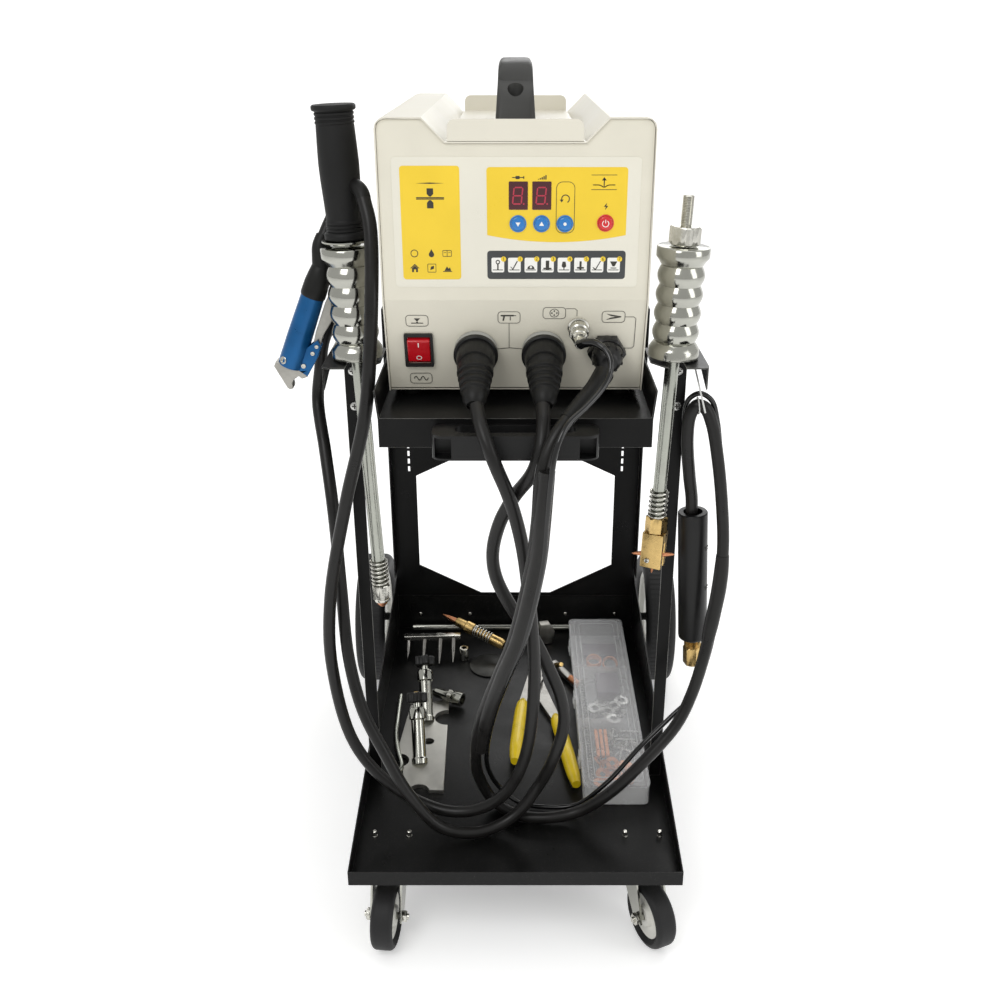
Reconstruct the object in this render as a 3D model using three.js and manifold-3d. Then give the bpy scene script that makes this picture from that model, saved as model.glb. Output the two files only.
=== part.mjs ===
// A spot welder for pulling dents: a steel cabinet on a two-shelf trolley, with two slide
// hammers, a puller tool, a torch and their cables. Millimetres, +Z up, front towards -Y.
// The origin is on the floor, at the middle of the machine's length and width.
import * as THREE from 'three';
import { mergeVertices } from 'three/addons/utils/BufferGeometryUtils.js';
import Module from 'manifold-3d';

const wasm = await Module();
wasm.setup();

// ---------- driving sizes ----------

const gap = 0.3; // clearance between pieces that touch
const sheet = 1.5; // steel sheet thickness
const halfLength = 353; // half of the whole machine's length

const wheel = { radius: 100, width: 46, bore: 6.3, x: 220, y: halfLength - 100 };
const caster = { radius: 37.5, width: 26, x: 143, y: -287, trail: 28, turn: { left: 0.1, right: -0.42 } };
const tray = { halfWidth: 183, front: -335, rear: 217.5, bottom: 100, lip: 118 };
const trayFloor = tray.bottom + sheet;
const post = { outer: tray.halfWidth - sheet - gap, inner: 167, front: -148, depth: 30, top: 644.6 };
const shelf = { halfWidth: 134, front: -255, rear: tray.rear, top: 612, wallTop: 640, flare: 3 };
const frame = { halfWidth: 182.5, front: tray.rear + gap, bottom: 103, top: 611 };
const cabinet = {
  halfWidth: 128,
  front: -222,
  rear: 170,
  top: 886,
  recess: 865,
  recessHalf: 64,
  shoulderHalf: 85,
  corner: 10,
  fold: 720,
  bottom: 622,
  footSetback: 24,
};
const tilt = Math.atan(cabinet.footSetback / (cabinet.fold - cabinet.bottom)); // of the lower face
const panelFace = cabinet.front + 2; // the front panel sits inside the cover's edge
const bracket = { z: 645, inner: 138, outer: 196, front: -201, rear: -125 };
const hammerAxis = { x: 163, y: -164, z: bracket.z + sheet + gap, lean: 0.038 };
const hammer = { flange: 28, waist: 20, bore: 7.8, height: 113, foot: 1.5 };
const rodRadius = 7.3;
const torch = { x: 197, y: -155, z: 468, lean: 0.062 };
const box = { x0: 82, x1: 161, y0: -204, y1: 190, floor: trayFloor + gap, height: 25, lid: 4, wall: 1.6 };

// ---------- materials ----------

function finish(color, roughness, metalness) {
  return new THREE.MeshStandardMaterial({ color, roughness, metalness });
}

const cream = finish(0xe0dac9, 0.55, 0.1);
const creamDark = finish(0xd2cbb6, 0.55, 0.1);
const blackPaint = finish(0x141414, 0.5, 0.3);
const blackPlastic = finish(0x1d1d1e, 0.6, 0);
const blackRubber = finish(0x232322, 0.85, 0);
const chrome = finish(0xd8d6cf, 0.18, 1);
const zinc = finish(0xb9b8b0, 0.4, 0.9);
const brass = finish(0xb18a45, 0.35, 0.9);
const copper = finish(0xb4643c, 0.4, 0.9);
const aluminium = finish(0xb4b2aa, 0.45, 0.8);
const blueAnodised = finish(0x1c5f9c, 0.4, 0.6);
const buttonBlue = finish(0x1f7fc4, 0.45, 0);
const buttonRed = finish(0xc62a2a, 0.45, 0);
const clearPlastic = finish(0xd9dadb, 0.25, 0);
const gripYellow = finish(0xf2cf12, 0.5, 0);
const boardGreen = finish(0x1d5b3a, 0.6, 0);
const steelCore = finish(0x5c5c5a, 0.6, 0.7);

// ---------- geometry helpers ----------

function prepared(geometry) {
  const bare = geometry.clone();
  bare.deleteAttribute('normal');
  bare.deleteAttribute('uv');
  return mergeVertices(bare, 1e-4);
}

function toSolid(geometry) {
  const bare = prepared(geometry);
  const corners = bare.index.array;
  const kept = [];
  for (let i = 0; i < corners.length; i += 3) {
    const [a, b, c] = corners.slice(i, i + 3);
    if (a !== b && b !== c && c !== a) kept.push(a, b, c);
  }
  const mesh = new wasm.Mesh({
    numProp: 3,
    vertProperties: Float32Array.from(bare.attributes.position.array),
    triVerts: Uint32Array.from(kept),
  });
  return new wasm.Manifold(mesh);
}

function toGeometry(solid) {
  const mesh = solid.getMesh();
  const geometry = new THREE.BufferGeometry();
  geometry.setAttribute('position', new THREE.BufferAttribute(mesh.vertProperties, 3));
  geometry.setIndex(new THREE.BufferAttribute(mesh.triVerts, 1));
  geometry.computeVertexNormals();
  return geometry;
}

function join(first, ...rest) {
  return toGeometry(rest.reduce((solid, piece) => solid.add(toSolid(piece)), toSolid(first)));
}

function cut(first, ...rest) {
  return toGeometry(rest.reduce((solid, piece) => solid.subtract(toSolid(piece)), toSolid(first)));
}

function overlap(first, second) {
  return toGeometry(toSolid(first).intersect(toSolid(second)));
}

function span(x0, x1, y0, y1, z0, z1) {
  const geometry = new THREE.BoxGeometry(x1 - x0, y1 - y0, z1 - z0);
  return geometry.translate((x0 + x1) / 2, (y0 + y1) / 2, (z0 + z1) / 2);
}

function rodAlongZ(radius, z0, z1, sides = 24) {
  const geometry = new THREE.CylinderGeometry(radius, radius, z1 - z0, sides);
  return geometry.rotateX(Math.PI / 2).translate(0, 0, (z0 + z1) / 2);
}

function rodAlongY(radius, y0, y1, sides = 24) {
  const geometry = new THREE.CylinderGeometry(radius, radius, y1 - y0, sides);
  return geometry.translate(0, (y0 + y1) / 2, 0);
}

function rodAlongX(radius, x0, x1, sides = 24) {
  return rodAlongZ(radius, x0, x1, sides).rotateY(Math.PI / 2);
}

function outline(points) {
  return new THREE.Shape(points.map(([x, y]) => new THREE.Vector2(x, y)));
}

// The shape's x and y become X and Z, and the solid runs from y0 to y1.
function extrudeAlongY(shape, y0, y1, curveSegments = 6) {
  const geometry = new THREE.ExtrudeGeometry(shape, { depth: y1 - y0, bevelEnabled: false, curveSegments });
  return geometry.rotateX(Math.PI / 2).translate(0, y1, 0);
}

// The shape's x and y become Y and Z, and the solid runs from x0 to x1.
function extrudeAlongX(shape, x0, x1, curveSegments = 6) {
  const geometry = new THREE.ExtrudeGeometry(shape, { depth: x1 - x0, bevelEnabled: false, curveSegments });
  return geometry.rotateY(Math.PI / 2).rotateX(Math.PI / 2).translate(x0, 0, 0);
}

// The shape's x and y stay X and Y, and the solid runs from z0 to z1.
function extrudeAlongZ(shape, z0, z1, curveSegments = 6) {
  const geometry = new THREE.ExtrudeGeometry(shape, { depth: z1 - z0, bevelEnabled: false, curveSegments });
  return geometry.translate(0, 0, z0);
}

// A turned solid about Z from [radius, z] points, listed bottom to top.
function turned(points, sides = 28) {
  const profile = points.map(([radius, z]) => new THREE.Vector2(radius, z));
  return new THREE.LatheGeometry(profile, sides).rotateX(Math.PI / 2);
}

// A turned ring: the outer [radius, z] points, closed along a bore of one radius.
function turnedRing(bore, points, sides = 28) {
  const bottom = points[0][1];
  const top = points[points.length - 1][1];
  return turned([[bore, bottom], ...points, [bore, top], [bore, bottom]], sides);
}

function roundedRectangle(x0, x1, y0, y1, radius) {
  const shape = new THREE.Shape();
  shape.absarc(x1 - radius, y1 - radius, radius, 0, Math.PI / 2);
  shape.absarc(x0 + radius, y1 - radius, radius, Math.PI / 2, Math.PI);
  shape.absarc(x0 + radius, y0 + radius, radius, Math.PI, Math.PI * 1.5);
  shape.absarc(x1 - radius, y0 + radius, radius, Math.PI * 1.5, Math.PI * 2);
  return shape;
}

function hexagon(acrossFlats) {
  const radius = acrossFlats / Math.sqrt(3);
  const corners = [0, 1, 2, 3, 4, 5].map((i) => (i * Math.PI) / 3);
  return outline(corners.map((a) => [radius * Math.cos(a), radius * Math.sin(a)]));
}

function hexAlongZ(acrossFlats, z0, z1) {
  return extrudeAlongZ(hexagon(acrossFlats), z0, z1);
}

// Points along an arc, both ends included.
function arc(x, y, radius, from, to, count) {
  return Array.from({ length: count + 1 }, (_, i) => {
    const angle = from + ((to - from) * i) / count;
    return [x + radius * Math.cos(angle), y + radius * Math.sin(angle)];
  });
}

function mirrored(points) {
  return [...points, ...points.map(([x, y]) => [-x, y]).reverse()];
}

const machine = new THREE.Group();

function addPart(name, geometry, material, parent = machine) {
  const mesh = new THREE.Mesh(geometry, material);
  mesh.name = name;
  parent.add(mesh);
  return mesh;
}

// ---------- cabinet ----------

// The cabinet's end view, right half, from the bottom edge up to the middle of the recess.
function coverEdge(inset) {
  const side = cabinet.halfWidth - inset;
  const top = cabinet.top - inset;
  const corner = cabinet.corner - inset;
  return [
    [side, cabinet.bottom],
    ...arc(side - corner, top - corner, corner, 0, Math.PI / 2, 3),
    [cabinet.shoulderHalf + 0.41 * inset, top],
    [cabinet.recessHalf + 0.41 * inset, cabinet.recess - inset],
  ];
}

function belowFold(setback) {
  return outline([
    [cabinet.front - 10, cabinet.fold],
    [cabinet.front + setback, cabinet.fold],
    [cabinet.front + setback + cabinet.footSetback, cabinet.bottom],
    [cabinet.front + setback + cabinet.footSetback, cabinet.bottom - 10],
    [cabinet.front - 10, cabinet.bottom - 10],
  ]);
}

function cabinetCover() {
  const outer = mirrored(coverEdge(0));
  const inner = mirrored(coverEdge(sheet)).reverse();
  const shell = extrudeAlongY(outline([...outer, ...inner]), cabinet.front, cabinet.rear);
  const nose = extrudeAlongX(belowFold(0), -cabinet.halfWidth - 1, cabinet.halfWidth + 1);
  return cut(shell, nose);
}

function basePan() {
  const half = cabinet.halfWidth - sheet - gap;
  const front = cabinet.front + cabinet.footSetback + 4;
  const plate = span(-half, half, front, cabinet.rear - 4, cabinet.bottom, cabinet.bottom + sheet);
  const feet = [];
  for (const x of [-half + 18, half - 18]) {
    for (const y of [front + 22, cabinet.rear - 30]) {
      feet.push(rodAlongZ(9, shelf.top + gap, cabinet.bottom + 0.5, 16).translate(x, y, 0));
    }
  }
  return join(plate, ...feet);
}

const buttons = {
  button_down: { x: 2.3, z: 792, material: buttonBlue },
  button_up: { x: 24.3, z: 792, material: buttonBlue },
  button_select: { x: 46.1, z: 792, material: buttonBlue },
  power_button: { x: 83.9, z: 792.6, material: buttonRed },
};
const buttonRadius = 6.6;
const rocker = { x: -95.5, drop: 54, halfWidth: 11.2, halfHeight: 14, pivot: 2.5 };

function insideOfCover(y0, y1) {
  return extrudeAlongY(outline(mirrored(coverEdge(sheet + gap))), y0, y1);
}

function frontPanel() {
  const foot = panelFace + cabinet.footSetback;
  const skin = outline([
    [panelFace, cabinet.top],
    [panelFace + sheet, cabinet.top],
    [panelFace + sheet, cabinet.fold],
    [foot + sheet, cabinet.bottom + 3],
    [foot, cabinet.bottom + 3],
    [panelFace, cabinet.fold],
  ]);
  const sheetSolid = extrudeAlongX(skin, -cabinet.halfWidth, cabinet.halfWidth);
  const panel = overlap(sheetSolid, insideOfCover(panelFace - 5, foot + 5));
  const holes = Object.values(buttons).map(({ x, z }) =>
    rodAlongY(buttonRadius + 0.6, panelFace - 4, panelFace + 4, 16).translate(x, 0, z));
  const window = span(-12, 12, -6, 8, -15.5, 15.5);
  holes.push(onLowerFace(window, rocker.x, rocker.drop));
  return cut(panel, ...holes);
}

// Places a geometry made about the lower face: its -Y looks out, and drop runs down the slope.
function onLowerFace(geometry, x, drop) {
  return geometry.translate(x, 0, -drop).rotateX(tilt).translate(0, panelFace, cabinet.fold);
}

const fan = { x: 40, z: 745, radius: 42, side: 92, depth: 25 };
const inlet = { x: -85, z: 665 };

function rearPanel() {
  const y = cabinet.rear - 3;
  const plate = insideOfCover(y, y + sheet);
  const slots = [0, 1, 2, 3, 4, 5].map((i) => span(-105, -35, y - 1, y + 3, 700 + i * 14, 704 + i * 14));
  const fanHole = rodAlongY(fan.radius, y - 1, y + 3, 24).translate(fan.x, 0, fan.z);
  const inletHole = rodAlongY(8.3, y - 1, y + 3, 16).translate(inlet.x, 0, inlet.z);
  const trimmed = cut(plate, fanHole, inletHole, ...slots);
  const foot = span(-200, 200, y - 1, y + 3, cabinet.bottom - 1, cabinet.bottom + sheet + gap);
  return cut(trimmed, foot);
}

function handlePlate() {
  const [front, rear] = [cabinet.front + 0.5, 160];
  const [low, high] = [cabinet.recess + gap, 884.5];
  const [halfWidth, corner] = [62, 7];
  const channel = outline([
    [front, low],
    [rear, low],
    [rear, high],
    [rear - sheet, high],
    [rear - sheet, low + sheet],
    [front + sheet, low + sheet],
    [front + sheet, high],
    [front, high],
  ]);
  const flange = mirrored([
    [halfWidth, low - 1],
    ...arc(halfWidth - corner, high - corner, corner, 0, Math.PI / 2, 5),
  ]);
  const envelope = extrudeAlongY(outline(flange), front - 1, rear + 1);
  return overlap(extrudeAlongX(channel, -halfWidth, halfWidth), envelope);
}

function carryHandle() {
  const low = cabinet.recess + sheet + 2 * gap;
  const [front, rear, top] = [-150, 90, 931];
  const arch = new THREE.Shape();
  arch.moveTo(front, low);
  arch.bezierCurveTo(front + 4, low + 40, front + 14, top, front + 55, top);
  arch.lineTo(rear - 55, top);
  arch.bezierCurveTo(rear - 14, top, rear - 4, low + 40, rear, low);
  arch.lineTo(rear - 30, low);
  arch.bezierCurveTo(rear - 32, low + 22, rear - 38, top - 16, rear - 62, top - 16);
  arch.lineTo(front + 62, top - 16);
  arch.bezierCurveTo(front + 38, top - 16, front + 32, low + 22, front + 30, low);
  return extrudeAlongX(arch, -17, 17, 8);
}

function rockerBezel() {
  const frameShape = roundedRectangle(-14.2, 14.2, -18.2, 18.2, 1.5);
  frameShape.holes.push(outline([[-11.6, -15.2], [-11.6, 15.2], [11.6, 15.2], [11.6, -15.2]]));
  return extrudeAlongY(frameShape, -3, -gap);
}

function rockerSwitch() {
  const { halfWidth, halfHeight } = rocker;
  const side = outline([
    [-3.5, -halfHeight],
    [-1.6, 0],
    [-3.5, halfHeight],
    [3.5, halfHeight - 1],
    [6, 4],
    [6, -4],
    [3.5, -halfHeight + 1],
  ]);
  return extrudeAlongX(side, -halfWidth, halfWidth);
}

const sockets = { weld_socket_left: -39, weld_socket_right: 27.8 };
const socketDrop = 54;

function weldSocket() {
  return turnedRing(13, [[20.5, 0], [20.5, 5], [18.5, 8]], 20).rotateX(Math.PI / 2);
}

// A bayonet plug: a collar in the socket, and a ribbed boot that turns down to the cable.
function weldPlug() {
  const collar = turned([[0, 4], [12.5, 4], [12.5, 8.3], [19, 8.3], [19, 16], [17.5, 27], [0, 30]], 20);
  const boot = turned([[0, -6], [15, 0], [17.2, 8], [14, 34], [11.5, 50], [0, 50]], 20);
  const bend = THREE.MathUtils.degToRad(35) - tilt;
  const tail = boot.rotateX(bend).translate(0, 0, 24);
  return join(collar, tail).rotateX(Math.PI / 2);
}

function controlSocket() {
  return turnedRing(6.4, [[10, 0], [10, 3], [8, 5]], 20).rotateX(Math.PI / 2);
}

function controlPlug() {
  return turned([[0, 2], [6, 2], [6, 5.3], [9.2, 5.3], [9.2, 18], [7, 20], [5, 34], [0, 34]], 20)
    .rotateX(Math.PI / 2);
}

function cableGland() {
  const nut = hexAlongZ(33, gap, 12);
  const dome = turned([[0, 11], [15.5, 11], [15.5, 17], [10, 30], [0, 30]], 24);
  const tail = turned([[0, -3], [10, -3], [9, 8], [7.6, 20], [0, 20]], 16);
  tail.rotateX(-0.113).rotateY(-0.239).translate(0, 0, 27);
  return join(nut, dome, tail).rotateX(Math.PI / 2);
}

function mainsInlet() {
  const thread = rodAlongZ(8, -6, 3, 16);
  const nut = hexAlongZ(24, gap + sheet, 9);
  const dome = turned([[0, 8], [10, 8], [7, 22], [0, 22]], 16);
  return join(thread, nut, dome).rotateX(-Math.PI / 2);
}

function transformerCore() {
  const block = span(-62, 62, -35, 35, 0, 104);
  const windows = [-27, 27].map((x) => span(x - 13, x + 13, -40, 40, 18, 86));
  return cut(block, ...windows);
}

function transformerCoil() {
  return cut(span(-38.5, 38.5, -52, 52, 20, 84), span(-15, 15, -36, 36, 10, 90));
}

function fanHousing() {
  const half = fan.side / 2;
  const square = roundedRectangle(-half, half, -half, half, 4);
  const bore = new THREE.Path();
  bore.absarc(0, 0, fan.radius, 0, Math.PI * 2, true);
  square.holes.push(new THREE.Path(bore.getPoints(14).slice(0, -1)));
  const ring = extrudeAlongY(square, 0, fan.depth, 4);
  const strut = span(15, fan.radius + 1, 20, 23, -2, 2);
  const struts = [0, 1, 2, 3].map((i) => strut.clone().rotateY((i * Math.PI) / 2));
  return join(ring, rodAlongY(17, 20, 23), ...struts);
}

function fanRotor() {
  const hub = rodAlongY(16, 2, 19);
  const blades = [0, 1, 2, 3, 4, 5, 6].map((i) =>
    span(14, 39, -1, 1, -9, 9).rotateX(0.9).rotateY((i * Math.PI * 2) / 7).translate(0, 10, 0));
  return join(hub, ...blades);
}

function addCabinet() {
  addPart('cabinet_cover', cabinetCover(), cream);
  addPart('base_pan', basePan(), cream);
  addPart('front_panel', frontPanel(), creamDark);
  addPart('rear_panel', rearPanel(), cream);
  addPart('handle_plate', handlePlate(), cream);
  addPart('carry_handle', carryHandle(), blackPlastic);
  for (const [name, { x, z, material }] of Object.entries(buttons)) {
    const cap = addPart(name, rodAlongY(buttonRadius, -3, 5, 16), material);
    cap.position.set(x, panelFace, z);
  }

  const face = new THREE.Group();
  face.position.set(0, panelFace, cabinet.fold);
  face.rotation.x = tilt;
  machine.add(face);
  addPart('rocker_bezel', rockerBezel(), blackPlastic, face).position.set(rocker.x, 0, -rocker.drop);
  const lever = addPart('rocker_switch', rockerSwitch(), buttonRed, face);
  lever.position.set(rocker.x, rocker.pivot, -rocker.drop);
  lever.rotation.x = THREE.MathUtils.degToRad(7);
  for (const [name, x] of Object.entries(sockets)) {
    addPart(name, weldSocket(), zinc, face).position.set(x, -gap, -socketDrop);
    const plug = addPart(name.replace('socket', 'plug'), weldPlug(), blackRubber, face);
    plug.position.set(x, -gap, -socketDrop);
  }
  addPart('control_socket', controlSocket(), zinc, face).position.set(61.4, -gap, -29);
  addPart('control_plug', controlPlug(), zinc, face).position.set(61.4, -gap, -29);
  addPart('cable_gland', cableGland(), blackPlastic, face).position.set(90, 0, -socketDrop);

  addPart('mains_inlet', mainsInlet(), blackPlastic).position.set(inlet.x, cabinet.rear - 3, inlet.z);
  const coreBase = cabinet.bottom + sheet + gap;
  addPart('transformer_core', transformerCore(), steelCore).position.set(-40, -40, coreBase);
  addPart('transformer_coil', transformerCoil(), copper).position.set(-40, -40, coreBase);
  addPart('control_board', span(-70, 70, -209, -207.4, 745, 840), boardGreen);
  const fanY = cabinet.rear - 3 - gap - fan.depth;
  addPart('fan_housing', fanHousing(), blackPlastic).position.set(fan.x, fanY, fan.z);
  addPart('fan_rotor', fanRotor(), blackPlastic).position.set(fan.x, fanY, fan.z);
}

// ---------- trolley ----------

function upperShelf() {
  const { halfWidth, front, rear, top, wallTop, flare } = shelf;
  const outside = [[halfWidth + flare, wallTop], [halfWidth, top - sheet]];
  const inside = [[halfWidth + flare - sheet, wallTop], [halfWidth - sheet, top]];
  const channel = outline([...mirrored(outside), ...mirrored(inside).reverse()]);
  const pan = extrudeAlongY(channel, front, rear);
  const apron = span(-halfWidth, halfWidth, front, front + sheet, top - 30, top);
  return join(pan, apron);
}

function lowerTray() {
  const { halfWidth, front, rear, bottom, lip } = tray;
  const floor = span(-halfWidth, halfWidth, front, rear, bottom, trayFloor);
  const frontLip = span(-halfWidth, halfWidth, front, front + sheet, bottom, lip);
  const rearWall = span(-halfWidth, halfWidth, rear - sheet, rear, bottom, 158);
  const side = outline([
    [front, bottom],
    [rear, bottom],
    [rear, 188],
    [post.front + 40, 146],
    [post.front, 138],
    [front, lip],
  ]);
  const left = extrudeAlongX(side, -halfWidth, -halfWidth + sheet);
  const right = extrudeAlongX(side, halfWidth - sheet, halfWidth);
  return join(floor, frontLip, rearWall, left, right);
}

function rearFrame() {
  const { halfWidth, front, bottom, top } = frame;
  const panel = outline([[-halfWidth, bottom], [halfWidth, bottom], [halfWidth, top], [-halfWidth, top]]);
  const window = [[53, 162], [146, 210], [146, 357], [53, 402]];
  panel.holes.push(outline(mirrored(window)));
  for (const side of [-1, 1]) {
    for (const row of [0, 1, 2, 3]) {
      const [x, z] = [side * 156, 364 + row * 12];
      panel.holes.push(outline([[x - 1.5, z], [x + 1.5, z], [x + 1.5, z + 8], [x - 1.5, z + 8]]));
    }
  }
  const plate = extrudeAlongY(panel, front, front + sheet);
  const fold = 24;
  const flanges = [-1, 1].map((side) => {
    const x = side * (halfWidth - sheet / 2);
    return span(x - sheet / 2, x + sheet / 2, front - fold, front + sheet, 200, top);
  });
  return join(plate, ...flanges);
}

function frontPost(side) {
  const { outer, inner, front, depth, top } = post;
  const angle = outline([
    [inner, front],
    [outer, front],
    [outer, front + depth],
    [outer - sheet, front + depth],
    [outer - sheet, front + sheet],
    [inner, front + sheet],
  ].map(([x, y]) => [side * x, y]));
  return extrudeAlongZ(angle, trayFloor + gap, top);
}

function hammerBracket(side) {
  const { z, inner, outer, front, rear } = bracket;
  const slot = rodRadius + 1.5;
  const half = Math.PI / 2;
  const plan = [
    [inner, rear],
    [inner, front + 22],
    [hammerAxis.x - slot, front],
    ...arc(hammerAxis.x, hammerAxis.y, slot, Math.PI, 0, 8),
    [hammerAxis.x + slot, front],
    ...arc(outer - 8, front + 8, 8, -half, 0, 4),
    [outer, rear],
  ];
  const plate = extrudeAlongZ(outline(plan.map(([x, y]) => [side * x, y])), z, z + sheet);
  const gusset = outline([[front + 8, z + 0.5], [front + 8, z - 24], [rear, z - 4], [rear, z + 0.5]]);
  const middle = side * (outer - sheet / 2);
  const flange = extrudeAlongX(gusset, middle - sheet / 2, middle + sheet / 2);
  return join(plate, flange);
}

const pushHandleSize = {
  halfWidth: 80,
  front: -291,
  rear: shelf.front - gap,
  bottom: 582,
  top: 607,
  slotHalf: 58,
};

function pushHandle() {
  const { halfWidth, front, rear, bottom, top, slotHalf } = pushHandleSize;
  const plan = roundedRectangle(-halfWidth, halfWidth, front, rear, 12);
  const slot = roundedRectangle(-slotHalf, slotHalf, front + 10, rear - 6, 9);
  plan.holes.push(new THREE.Path(slot.getPoints(4)));
  const slab = extrudeAlongZ(plan, bottom, top, 4);
  const pockets = [-1, 1].map((side) =>
    span(-8, 8, front - 1, front + 16, bottom + 2, top - 3).translate(side * (slotHalf + 11), 0, 0));
  return cut(slab, ...pockets);
}

function rearAxle() {
  const behind = frame.front + sheet + gap;
  const back = wheel.y + 10;
  const [low, high, wall, half] = [84, 130, 3, 170];
  const channel = extrudeAlongX(outline([
    [behind, low],
    [back, low],
    [back, high],
    [behind, high],
    [behind, high - wall],
    [back - wall, high - wall],
    [back - wall, low + wall],
    [behind, low + wall],
  ]), -half, half);
  const ends = [-1, 1].map((side) => {
    const middle = side * (half - wall / 2);
    return span(middle - wall / 2, middle + wall / 2, behind, back, low, high);
  });
  const axle = rodAlongX(6, -wheel.x - 21, wheel.x + 21).translate(0, wheel.y, wheel.radius);
  return join(channel, ...ends, axle);
}

function rearWheel() {
  const { radius, width, bore } = wheel;
  const half = width / 2;
  const tyre = [[22, -half - 1], [22, -half + 6], [70, -half + 6], [74, -half], [radius - 8, -half]];
  const edge = [[radius, -half + 9], [radius, half - 9]];
  const profile = [...tyre, ...edge, ...tyre.map(([r, z]) => [r, -z]).reverse()];
  return turnedRing(bore, profile, 32).rotateY(Math.PI / 2);
}

function casterPlate() {
  const top = tray.bottom - gap;
  return extrudeAlongZ(roundedRectangle(-26, 26, -37, 37, 5), top - 3, top);
}

function casterFork() {
  const top = tray.bottom - 2 * gap - 3;
  const crown = rodAlongZ(19, top - 6, top, 24);
  const bridge = span(-18, 18, -18, 14, top - 9, top - 5);
  const cheek = outline([
    [-18, top - 5],
    [14, top - 5],
    [8, top - 25],
    [-caster.trail + 7, caster.radius - 7],
    [-caster.trail - 7, caster.radius - 5],
    [-caster.trail - 4, caster.radius + 12],
  ]);
  const cheeks = [-18, 15.5].map((x) => extrudeAlongX(cheek, x, x + 2.5));
  const pin = rodAlongX(4, -20, 20, 16).translate(0, -caster.trail, caster.radius);
  return join(crown, bridge, ...cheeks, pin);
}

function casterWheel() {
  const { radius, width } = caster;
  const half = width / 2;
  const rim = [[9, -half - 1], [9, -half + 3], [22, -half + 3], [25, -half], [radius - 3, -half]];
  const edge = [[radius, -half + 4], [radius, half - 4]];
  const profile = [...rim, ...edge, ...rim.map(([r, z]) => [r, -z]).reverse()];
  return turnedRing(4.3, profile, 20).rotateY(Math.PI / 2);
}

function addTrolley() {
  addPart('upper_shelf', upperShelf(), blackPaint);
  addPart('lower_tray', lowerTray(), blackPaint);
  addPart('rear_frame', rearFrame(), blackPaint);
  addPart('push_handle', pushHandle(), blackPlastic);
  addPart('rear_axle', rearAxle(), zinc);
  for (const [name, side] of [['left', -1], ['right', 1]]) {
    addPart(`front_post_${name}`, frontPost(side), blackPaint);
    addPart(`hammer_bracket_${name}`, hammerBracket(side), blackPaint);
    const rearOne = addPart(`rear_wheel_${name}`, rearWheel(), blackRubber);
    rearOne.position.set(side * wheel.x, wheel.y, wheel.radius);
    const stand = new THREE.Group();
    stand.position.set(side * caster.x, caster.y, 0);
    machine.add(stand);
    addPart(`caster_plate_${name}`, casterPlate(), zinc, stand);
    const swivel = new THREE.Group();
    swivel.rotation.z = -caster.turn[name];
    stand.add(swivel);
    addPart(`caster_fork_${name}`, casterFork(), zinc, swivel);
    const frontOne = addPart(`caster_wheel_${name}`, casterWheel(), blackRubber, swivel);
    frontOne.position.set(0, -caster.trail, caster.radius);
  }
}

// ---------- tools ----------

function slideHammer() {
  const { flange, waist, bore, height, foot } = hammer;
  const body = [[flange, foot], [flange, foot + 10], [flange - 3, foot + 14], [waist, foot + 18]];
  const waves = 4;
  const pitch = (height - 40) / waves;
  for (let i = 0; i < waves; i += 1) {
    const z = foot + 20 + i * pitch;
    body.push([waist + 3.5, z + pitch * 0.25], [waist + 3.5, z + pitch * 0.75], [waist, z + pitch]);
  }
  body.push([flange - 3, foot + height - 14], [flange, foot + height - 11], [flange, foot + height]);
  return turnedRing(bore, body, 20);
}

// The left tool: a welding pistol's rod with its hex nut and collet, under a rubber grip.
function pistolRod() {
  const rod = rodAlongZ(rodRadius, -270, 122);
  const nut = hexAlongZ(20, -283, -265);
  const collet = turned([[0, -293], [5, -293], [7, -288], [7, -282], [0, -282]], 16);
  const disc = turned([[0, 115.4], [24.5, 115.4], [24.5, 122], [0, 122]]);
  return join(rod, nut, collet, disc);
}

function pistolGrip() {
  return turned([
    [0, 122.3],
    [24, 122.3],
    [24, 130],
    [19.5, 133],
    [19, 150],
    [20, 205],
    [18, 236],
    [22, 239],
    [22, 247],
    [0, 247],
  ]);
}

// The right tool: a threaded rod and hex nut above the hammer, and a spring seat below it.
function electrodeRod() {
  const rod = rodAlongZ(rodRadius, -190, 116);
  const thread = rodAlongZ(6, 114, 164, 20);
  const nut = hexAlongZ(28, 115.5, 134);
  const seat = hexAlongZ(21, -199, -180);
  return join(rod, thread, nut, seat);
}

function electrodeHead() {
  const body = extrudeAlongZ(roundedRectangle(-12, 12, -10, 10, 2), -241, -199.3);
  const star = [0, 1, 2, 3, 4, 5, 6, 7].map((i) => {
    const length = i % 2 === 0 ? 24 : 17;
    const spike = turned([[0, 0], [4, 0], [3.5, 10], [0.6, length], [0, length]], 8);
    return spike.rotateY((i * Math.PI) / 4).translate(0, 0, -227);
  });
  return join(body, ...star);
}

// The hanging puller: a handle with a hooked jaw, and a lever held between two cheeks.
function pullerBody() {
  const handle = turned([[0, -16], [11, -16], [13.5, -12], [12, 66], [0, 66]], 20);
  const sleeve = turned([[0, 65], [12, 65], [13, 70], [12, 84], [9, 97], [0, 97]], 20);
  const hook = outline([
    [-15, -13],
    [-15, -21],
    [5, -38],
    [10, -36],
    [8, -27],
    [12, -20],
    [21, -18],
    [20, -8],
  ]);
  const cheek = outline([[8, -14], [21, -18], [24.6, 18], [19, 24], [8, 10]]);
  const cheeks = [extrudeAlongY(cheek, -7, -4), extrudeAlongY(cheek, 4, 7)];
  return join(handle, sleeve, extrudeAlongY(hook, -7, 7), ...cheeks);
}

function pullerLever() {
  const arm = outline([[17, 6], [14.2, 30], [14.2, 64], [17, 76], [22.5, 57], [27, 48], [23, 28], [23.5, 8]]);
  return extrudeAlongY(arm, -3.6, 3.6);
}

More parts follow.
